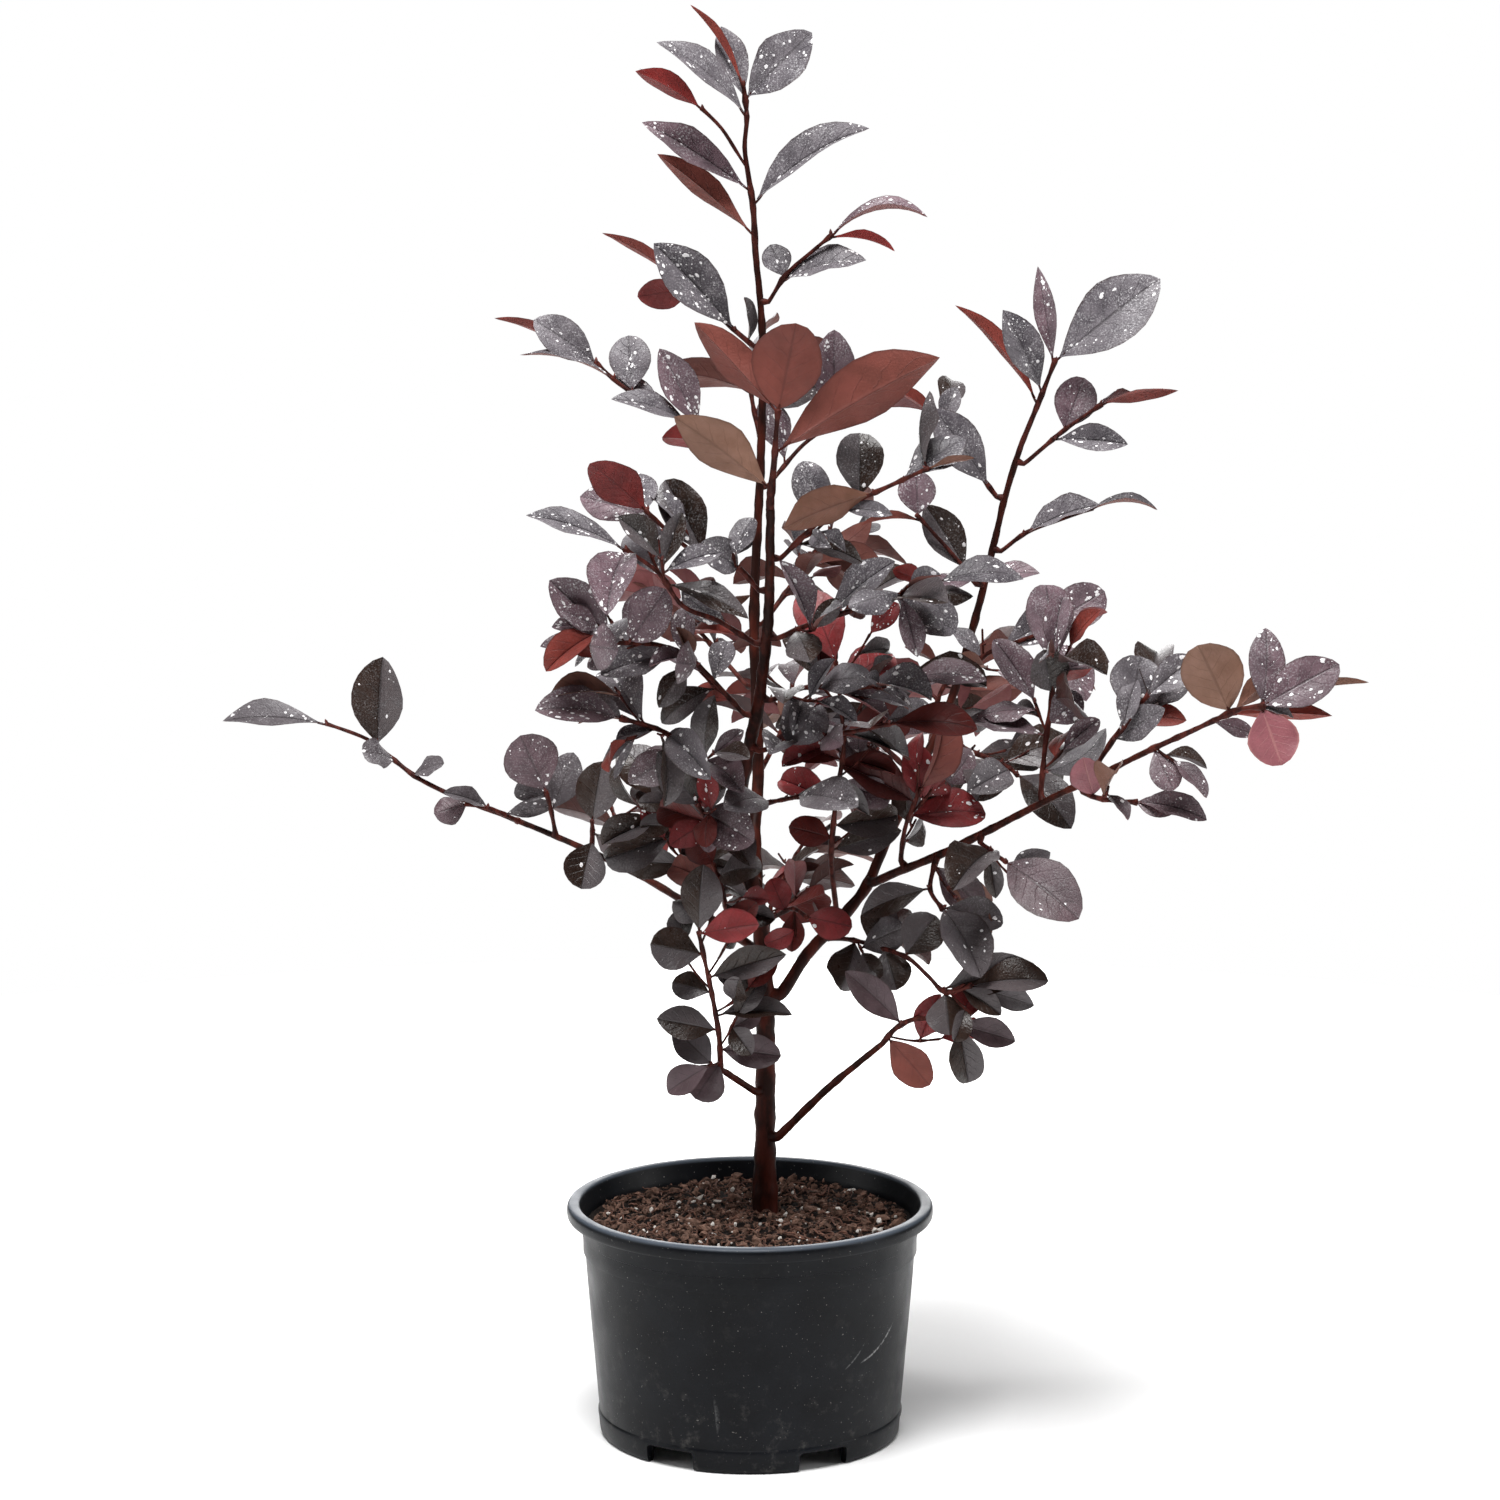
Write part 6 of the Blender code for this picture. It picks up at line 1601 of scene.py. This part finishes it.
def make_pot(finish):
    """The pot: lip, collar, step lines and wall turned in one, and six notches cut from its foot."""
    pot = turned_shell("pot_shell", POT_PROFILE, POT_STEPS)
    width = 2.0 * BODY_FOOT_RADIUS * math.sin(math.radians(NOTCH_ANGLE / 2.0))
    reach = BODY_FOOT_RADIUS - FOOT_RING / 2.0
    for index in range(FEET):
        heading = math.radians(-90.0 + POT_TURN + (index + 0.5) * 360.0 / FEET)
        bpy.ops.mesh.primitive_cube_add(size=1.0)
        cutter = bpy.context.object
        cutter.scale = (3.0 * FOOT_RING * MM, width * MM, 2.0 * NOTCH_HEIGHT * MM)
        bpy.ops.object.transform_apply(location=False, rotation=False, scale=True)
        rounding = cutter.modifiers.new("rounded", "BEVEL")
        rounding.width = NOTCH_ROUNDING * MM
        rounding.segments = 4
        apply_all(cutter)
        cutter.location = (reach * math.cos(heading) * MM, reach * math.sin(heading) * MM, 0.0)
        cutter.rotation_euler = (0.0, 0.0, heading)
        bpy.context.view_layer.update()
        notch = pot.modifiers.new("notch", "BOOLEAN")
        notch.operation = "DIFFERENCE"
        notch.object = cutter
        notch.solver = "EXACT"
        apply_all(pot)
        bpy.data.objects.remove(cutter)
    pot.data.materials.append(finish)
    select_only(pot)
    bpy.ops.object.shade_smooth_by_angle(angle=math.radians(34))
    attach(pot, "root")
    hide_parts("pot")


def mound_height(radius):
    """Height of the peat before its crumbs, at a distance from the axis."""
    share = min(1.0, radius / BODY_TOP_RADIUS)
    return SOIL_EDGE + MOUND * (1.0 - share * share)


def make_soil(finish):
    """The peat bed: a filled pot's worth with a rough open top."""
    foot = BODY_FOOT_RADIUS - SOIL_INSET
    rounded, above = BED_FOOT
    edge = COLLAR_RADIUS - SOIL_INSET
    profile = [(BED_AXIS, BED_FLOOR), (foot - rounded, BED_FLOOR), (foot, above),
               (BODY_TOP_RADIUS - SOIL_INSET, 85.9), (edge, 98.6)]
    for ring in range(1, BED_RINGS):
        radius = BED_AXIS + (edge - BED_AXIS) * (1.0 - ring / BED_RINGS)
        profile.append((radius, mound_height(radius)))
    soil = turned_shell("soil_bed", profile, BED_STEPS)
    group = soil.vertex_groups.new(name="open_top")
    for vertex in soil.data.vertices:
        radius = math.hypot(vertex.co.x, vertex.co.y) / MM
        if vertex.co.z > OPEN_TOP_FROM * MM and radius < edge - OPEN_TOP_EDGE:
            group.add([vertex.index], min(1.0, (edge - radius) / OPEN_TOP_FADE), "REPLACE")
    for label, size, strength in BED_RELIEF:
        roughen(soil, label, size, strength, "open_top")
    apply_all(soil)
    tint = soil.data.attributes.new("tint", "FLOAT", "POINT")
    tint.data.foreach_set("value", [0.1] * len(soil.data.vertices))
    soil.data.materials.append(finish)
    select_only(soil)
    bpy.ops.object.shade_smooth_by_angle(angle=math.radians(40))
    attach(soil, "root")
    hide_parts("soil")
    return soil


def lump_form():
    """The corners and faces of one small many-sided lump, modelled once."""
    bpy.ops.mesh.primitive_ico_sphere_add(subdivisions=1, radius=1.0)
    item = bpy.context.object
    corners = [vertex.co.copy() for vertex in item.data.vertices]
    faces = [tuple(face.vertices) for face in item.data.polygons]
    mesh = item.data
    bpy.data.objects.remove(item)
    bpy.data.meshes.remove(mesh)
    return corners, faces


def surface_at(soil, x, y):
    """Height of the peat surface in mm under a point."""
    hit, place = soil.ray_cast(Vector((x, y, ABOVE_SOIL)) * MM, Vector((0, 0, -1)))[:2]
    return place.z / MM if hit else SOIL_EDGE


def scatter_lumps(heap, soil, lump, rng, count, sizes, power, flat, spread=LUMP_SPREAD, lift=LUMP_LIFT):
    """Rough lumps strewn over the peat. The lower one lies in it, the darker it is painted, as painted
    shade in the gaps.

    power: how far small ones outnumber big ones. flat: how flat the flattest is."""
    corners, faces = lump
    for index in range(count):
        angle = rng.uniform(0, 2 * math.pi)
        size = sizes[0] + (sizes[1] - sizes[0]) * rng.random() ** power
        radius = (spread - size * 0.7) * math.sqrt(rng.random())
        x, y = radius * math.cos(angle), radius * math.sin(angle)
        if math.hypot(x - FOOT_X, y - FOOT_Y) < CLEAR_OF_TRUNK + size * 0.3:
            continue
        rise = rng.uniform(0.0, 1.0)
        z = surface_at(soil, x, y) + size * (lift[0] + (lift[1] - lift[0]) * rise)
        spin = Vector((rng.uniform(-1, 1), rng.uniform(-1, 1), 0.5))
        turn = Matrix.Rotation(rng.uniform(0, 2 * math.pi), 3, spin)
        stretch = Vector((rng.uniform(0.6, 1.7), rng.uniform(0.5, 1.1), rng.uniform(flat, 1.0)))
        middle = Vector((x, y, z))
        points = []
        for corner in corners:
            rough = corner * rng.uniform(*LUMP_ROUGH)
            points.append(middle + turn @ Vector([rough[i] * stretch[i] * size for i in range(3)]))
        # painted shade: a lump that sits lower gets a lower tint, and so a darker colour
        heap.add(points, faces, tint=rise * rng.uniform(0.55, 1.0))


def strew_fibres(heap, soil, rng, count):
    """Thin bent root fibres lying on the peat."""
    for index in range(count):
        angle = rng.uniform(0, 2 * math.pi)
        radius = FIBRE_SPREAD * math.sqrt(rng.random())
        place = Vector((radius * math.cos(angle), radius * math.sin(angle), 0.0))
        heading = rng.uniform(0, 2 * math.pi)
        length = rng.uniform(*FIBRE_LENGTH)
        points = []
        for step in range(FIBRE_POINTS):
            heading += rng.uniform(-FIBRE_BEND, FIBRE_BEND)
            height = surface_at(soil, place.x, place.y) + rng.uniform(*FIBRE_LIFT)
            points.append(Vector((place.x, place.y, height)))
            place = place + Vector((math.cos(heading), math.sin(heading), 0)) * length / (FIBRE_POINTS - 1)
            if math.hypot(place.x, place.y) > FIBRE_EDGE:
                break
        if len(points) > 2:
            route = smooth(points, 1.5)
            radii = [rng.uniform(*FIBRE_RADIUS)] * len(route)
            heap.add(*tube(route, radii, FIBRE_SIDES), tint=rng.random())


# Bark-covered limbs
LIMB_FINE_STEP = 3.6
KNOT_SEED = 60
FIRST_KNOT = 9.0
LAST_KNOT = 400.0
KNOT_APART = (12.0, 24.0)
KNOT_SWELL = (0.06, 0.22)
KNOT_REACH = 2.6
LIMB_UNEVEN = 0.08
LIMB_WAVES = 0.09
TRUNK_SUNK = 3.5
# share of the way out of the parent limb, and how much wider the limb is there
LIMB_FOOT = ((0.3, 1.45), (0.75, 1.35))
LIMB_COLLARS = (1.2, 1.06)
# size of a bark relief in mm, and its height for each mm of the limb's radius
RIDGES = (7.5, 0.30)
CRACKS = (1.7, 0.12)


def limb_piece(limb, grown, finish):
    """A bark-covered limb: a path with swollen nodes, skinned round and given its bark relief."""
    centres, radii = grown[limb.name][:2]
    fine, widths = resample(centres, radii, LIMB_FINE_STEP)
    rng = random.Random(KNOT_SEED + len(limb.name) + limb.sides)
    knots = []
    reach = FIRST_KNOT
    while reach < LAST_KNOT:
        knots.append((reach, rng.uniform(*KNOT_SWELL)))
        reach += rng.uniform(*KNOT_APART)
    gone = 0.0
    for index in range(len(fine)):
        if index:
            gone += (fine[index] - fine[index - 1]).length
        swell = sum(tall * math.exp(-((gone - at) / KNOT_REACH) ** 2) for at, tall in knots)
        widths[index] *= 1.0 + swell + LIMB_UNEVEN * noise.noise(fine[index] * LIMB_WAVES)
    if limb.parent is None:
        fine[0:0] = [fine[0] - Vector((0, 0, TRUNK_SUNK))]
        widths[0:0] = [widths[0] * 1.08]
    else:
        place = along(grown[limb.parent][0], limb.at)[0]
        fine[0:0] = [place + (fine[0] - place) * share for share, wider in LIMB_FOOT]
        widths[0:0] = [widths[0] * wider for share, wider in LIMB_FOOT]
        for index, wider in enumerate(LIMB_COLLARS, len(LIMB_FOOT)):
            widths[index] *= wider
    bpy.ops.curve.primitive_nurbs_path_add()
    path = bpy.context.object
    path.data.splines.clear()
    spline = path.data.splines.new("POLY")
    spline.points.add(len(fine) - 1)
    for point, place, width in zip(spline.points, fine, widths):
        point.co = (*(place * MM), 1.0)
        point.radius = width
    path.data.bevel_depth = MM
    path.data.bevel_resolution = 4
    path.data.use_fill_caps = True
    bpy.ops.object.convert(target="MESH")
    item = bpy.context.object
    item.name = item.data.name = limb.name + "_bark"
    bpy.ops.object.mode_set(mode="EDIT")
    bpy.ops.mesh.select_all(action="SELECT")
    bpy.ops.mesh.remove_doubles(threshold=0.001 * MM)
    bpy.ops.mesh.normals_make_consistent(inside=False)
    bpy.ops.object.mode_set(mode="OBJECT")
    rounder = item.modifiers.new("rounder", "SUBSURF")
    rounder.levels = rounder.render_levels = 1
    thick = sum(radii) / len(radii)
    roughen(item, "ridges", RIDGES[0], RIDGES[1] * thick)
    roughen(item, "cracks", CRACKS[0], CRACKS[1] * thick)
    apply_all(item)
    item.data.materials.clear()
    item.data.materials.append(finish)
    bpy.ops.object.shade_smooth()
    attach(item, "root")
    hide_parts(limb.name)


# Each leaf draws its looks from a seed of its own, by the number of its twig and its place on it.
LOOK_SEED = 9000
SEEDS_PER_TWIG = 97


def dealt_tone(leaf, draw):
    """Tone of one leaf: its own if it was aimed, else dealt out from the mix of its spray."""
    if leaf.is_aimed:
        return leaf.tone
    for tone, chance in TONE_MIX[leaf.tone]:
        draw -= chance
        if draw < 0:
            break
    return tone


def make_foliage():
    """Limbs, twigs, stalks, buds, leaves and water spots."""
    grown, twigs = grow_plant()
    bark = bark_finish("young_shrub_bark", "#1f0b07", "#431a12", "#5f382c", 2.4)
    for limb in LIMBS:
        limb_piece(limb, grown, bark)
    finishes = leaf_finishes()
    heaps = {tone: Heap() for tone in finishes}
    wood = Heap()
    buds = Heap()
    spots = Heap()
    for number, (shoot, route, radii, leaves, is_stem) in enumerate(twigs):
        twig_form(wood, shoot, route, radii, leaves, is_stem, grown)
        wood.owners.add(shoot.name)
        for index, leaf in enumerate(leaves):
            rng = random.Random(LOOK_SEED + SEEDS_PER_TWIG * number + index)
            tone = dealt_tone(leaf, rng.random())
            blade = Blade(leaf, rng)
            heaps[tone].add(*blade_form(blade), tint=blade.tint)
            heaps[tone].owners.add(shoot.name)
            stalk_form(wood, leaf, rng.random())
            if leaf.length > BUDDED_FROM:
                bud_form(buds, leaf, rng)
            share = (leaf.joint.z - SPOTTED_FROM) / (SPOTTED_ABOVE - SPOTTED_FROM)
            share = min(1.0, max(0.0, share)) * (DARK_SPOTS if tone == "dark" else 1.0)
            area = leaf.length * leaf.length * leaf.wide
            count = int(area * SPOTS_PER_AREA * share * rng.uniform(*SPOTS_SHARE))
            if tone not in BARE_TONES:
                spots_form(spots, blade, rng, count)
    for tone, heap in heaps.items():
        heap.piece("foliage_" + tone, finishes[tone], SLOTS[tone])
    twig_bark = bark_finish("reddish_twig_bark", "#2a0f0c", "#4f231d", "#7a4c40", 1.2)
    wood.piece("twigs_and_stalks", [twig_bark], "bark", 70.0)
    buds.piece("axil_buds", [plain_finish("bud_scales", "#3d1714", "#6a3029", 0.6, 0.8)], "bark", 60.0)
    lime = plain_finish("dried_limescale", "#c9c6c8", "#eceaea", 0.55, 0.6)
    spots.piece("water_spots", [lime], "leaf_slate", 80.0)


def make_ground():
    """Pot, peat, crumbs, perlite and fibres."""
    make_pot(polypropylene_finish())
    soil = make_soil(peat_finish("moist_peat", "#0c0706", "#2c1f19"))
    # the crumbs' peat, which their tint darkens as painted shade where they sit low
    crumb_peat_painted_shade = peat_finish("drier_peat", "#0d0706", "#9a7868")
    lump = lump_form()
    rng = random.Random(31)
    crumbs = Heap()
    scatter_lumps(crumbs, soil, lump, rng, CRUMBS, (0.5, 1.7), 2.0, 0.45)
    scatter_lumps(crumbs, soil, lump, rng, CLODS, (1.3, 3.2), 1.6, 0.5)
    crumbs.piece("soil_crumbs", [crumb_peat_painted_shade], "potting_soil", 30.0)
    grains = Heap()
    scatter_lumps(grains, soil, lump, rng, PERLITE_GRAINS, (0.35, 1.45), 2.2, 0.6,
                  PERLITE_SPREAD, PERLITE_LIFT)
    white = plain_finish("expanded_perlite", "#bdb4ab", "#efebe6", 0.85, 0.7)
    grains.piece("perlite_grains", [white], "potting_soil", 30.0)
    fibres = Heap()
    strew_fibres(fibres, soil, rng, SOIL_FIBRES)
    fibre = plain_finish("peat_fibre", "#341f18", "#7a5546", 0.8, 3.0)
    fibres.piece("soil_fibres", [fibre], "potting_soil", 70.0)


# Stage, in metres. Lamps: name, place, turn in degrees, size and power in watts
FLOOR_RADIUS = 1.1
GLOW_FROM = 0.10
GLOW_TO = 0.45
GLOW = 0.6
AIR_LIGHT = 0.09
SENSOR_MM = 36.0
LENS_MM = 96.0
CAMERA_PLACE = (0.0, -1.8067, 0.5904)
CAMERA_DIP = 8.5
LAMPS = (
    ("overhead_softbox", (-0.15, -0.60, 1.95), (18, -4, 0), 0.9, 60.0),
    ("left_softbox", (-1.7, -0.3, 0.8), (80, 0, -80), 1.0, 7.0),
    ("right_softbox", (1.7, -0.3, 0.7), (82, 0, 80), 0.9, 8.0),
    ("back_softbox", (0.0, 1.8, 0.75), (-90, 0, 0), 1.4, 24.0),
)


def make_stage():
    """A white sweep of paper under the pot, soft studio light round it, and the camera."""
    bpy.ops.mesh.primitive_circle_add(vertices=96, radius=FLOOR_RADIUS, fill_type="NGON",
                                      location=(0, 0, 0))
    floor = bpy.context.object
    floor.name = floor.data.name = "studio_floor"
    paper = bpy.data.materials.new("white_backdrop_paper")
    paper.use_nodes = True
    tree = paper.node_tree
    shader = tree.nodes["Principled BSDF"]
    # painted glow: the paper's emission rises towards its rim, so that its rim melts into the white behind
    # it
    place = add(tree, "TexCoord").outputs["Object"]
    away = add(tree, "VectorMath", {0: place}, operation="LENGTH").outputs["Value"]
    glow = add(tree, "MapRange", {0: away, 1: GLOW_FROM, 2: GLOW_TO, 3: 0.0, 4: GLOW},
               interpolation_type="SMOOTHSTEP")
    feed(tree, shader, {"Base Color": linear("#f7f7f7"), "Roughness": 0.95,
                        "Emission Color": linear("#ffffff"), "Emission Strength": glow})
    floor.data.materials.append(paper)
    world = bpy.data.worlds.new("studio_air")
    bpy.context.scene.world = world
    world.use_nodes = True
    tree = world.node_tree
    rays = add(tree, "LightPath")
    strength = add(tree, "MapRange", {0: rays.outputs["Is Camera Ray"], 3: AIR_LIGHT, 4: 1.0})
    feed(tree, tree.nodes["Background"], {"Color": linear("#ffffff"), "Strength": strength})
    for name, place, turn, size, power in LAMPS:
        light = bpy.data.lights.new(name, "AREA")
        light.shape = "SQUARE"
        light.size = size
        light.energy = power
        lamp = bpy.data.objects.new(name, light)
        lamp.location = place
        lamp.rotation_euler = [math.radians(a) for a in turn]
        bpy.context.scene.collection.objects.link(lamp)
    lens = bpy.data.cameras.new("camera")
    lens.sensor_width = SENSOR_MM
    lens.lens = LENS_MM
    camera = bpy.data.objects.new("camera", lens)
    camera.location = CAMERA_PLACE
    camera.rotation_euler = (math.radians(90.0 - CAMERA_DIP), 0.0, 0.0)
    bpy.context.scene.collection.objects.link(camera)
    bpy.context.scene.camera = camera
    bpy.context.scene.view_settings.view_transform = "Standard"


make_stage()
make_ground()
make_foliage()
bpy.ops.object.select_all(action="DESELECT")
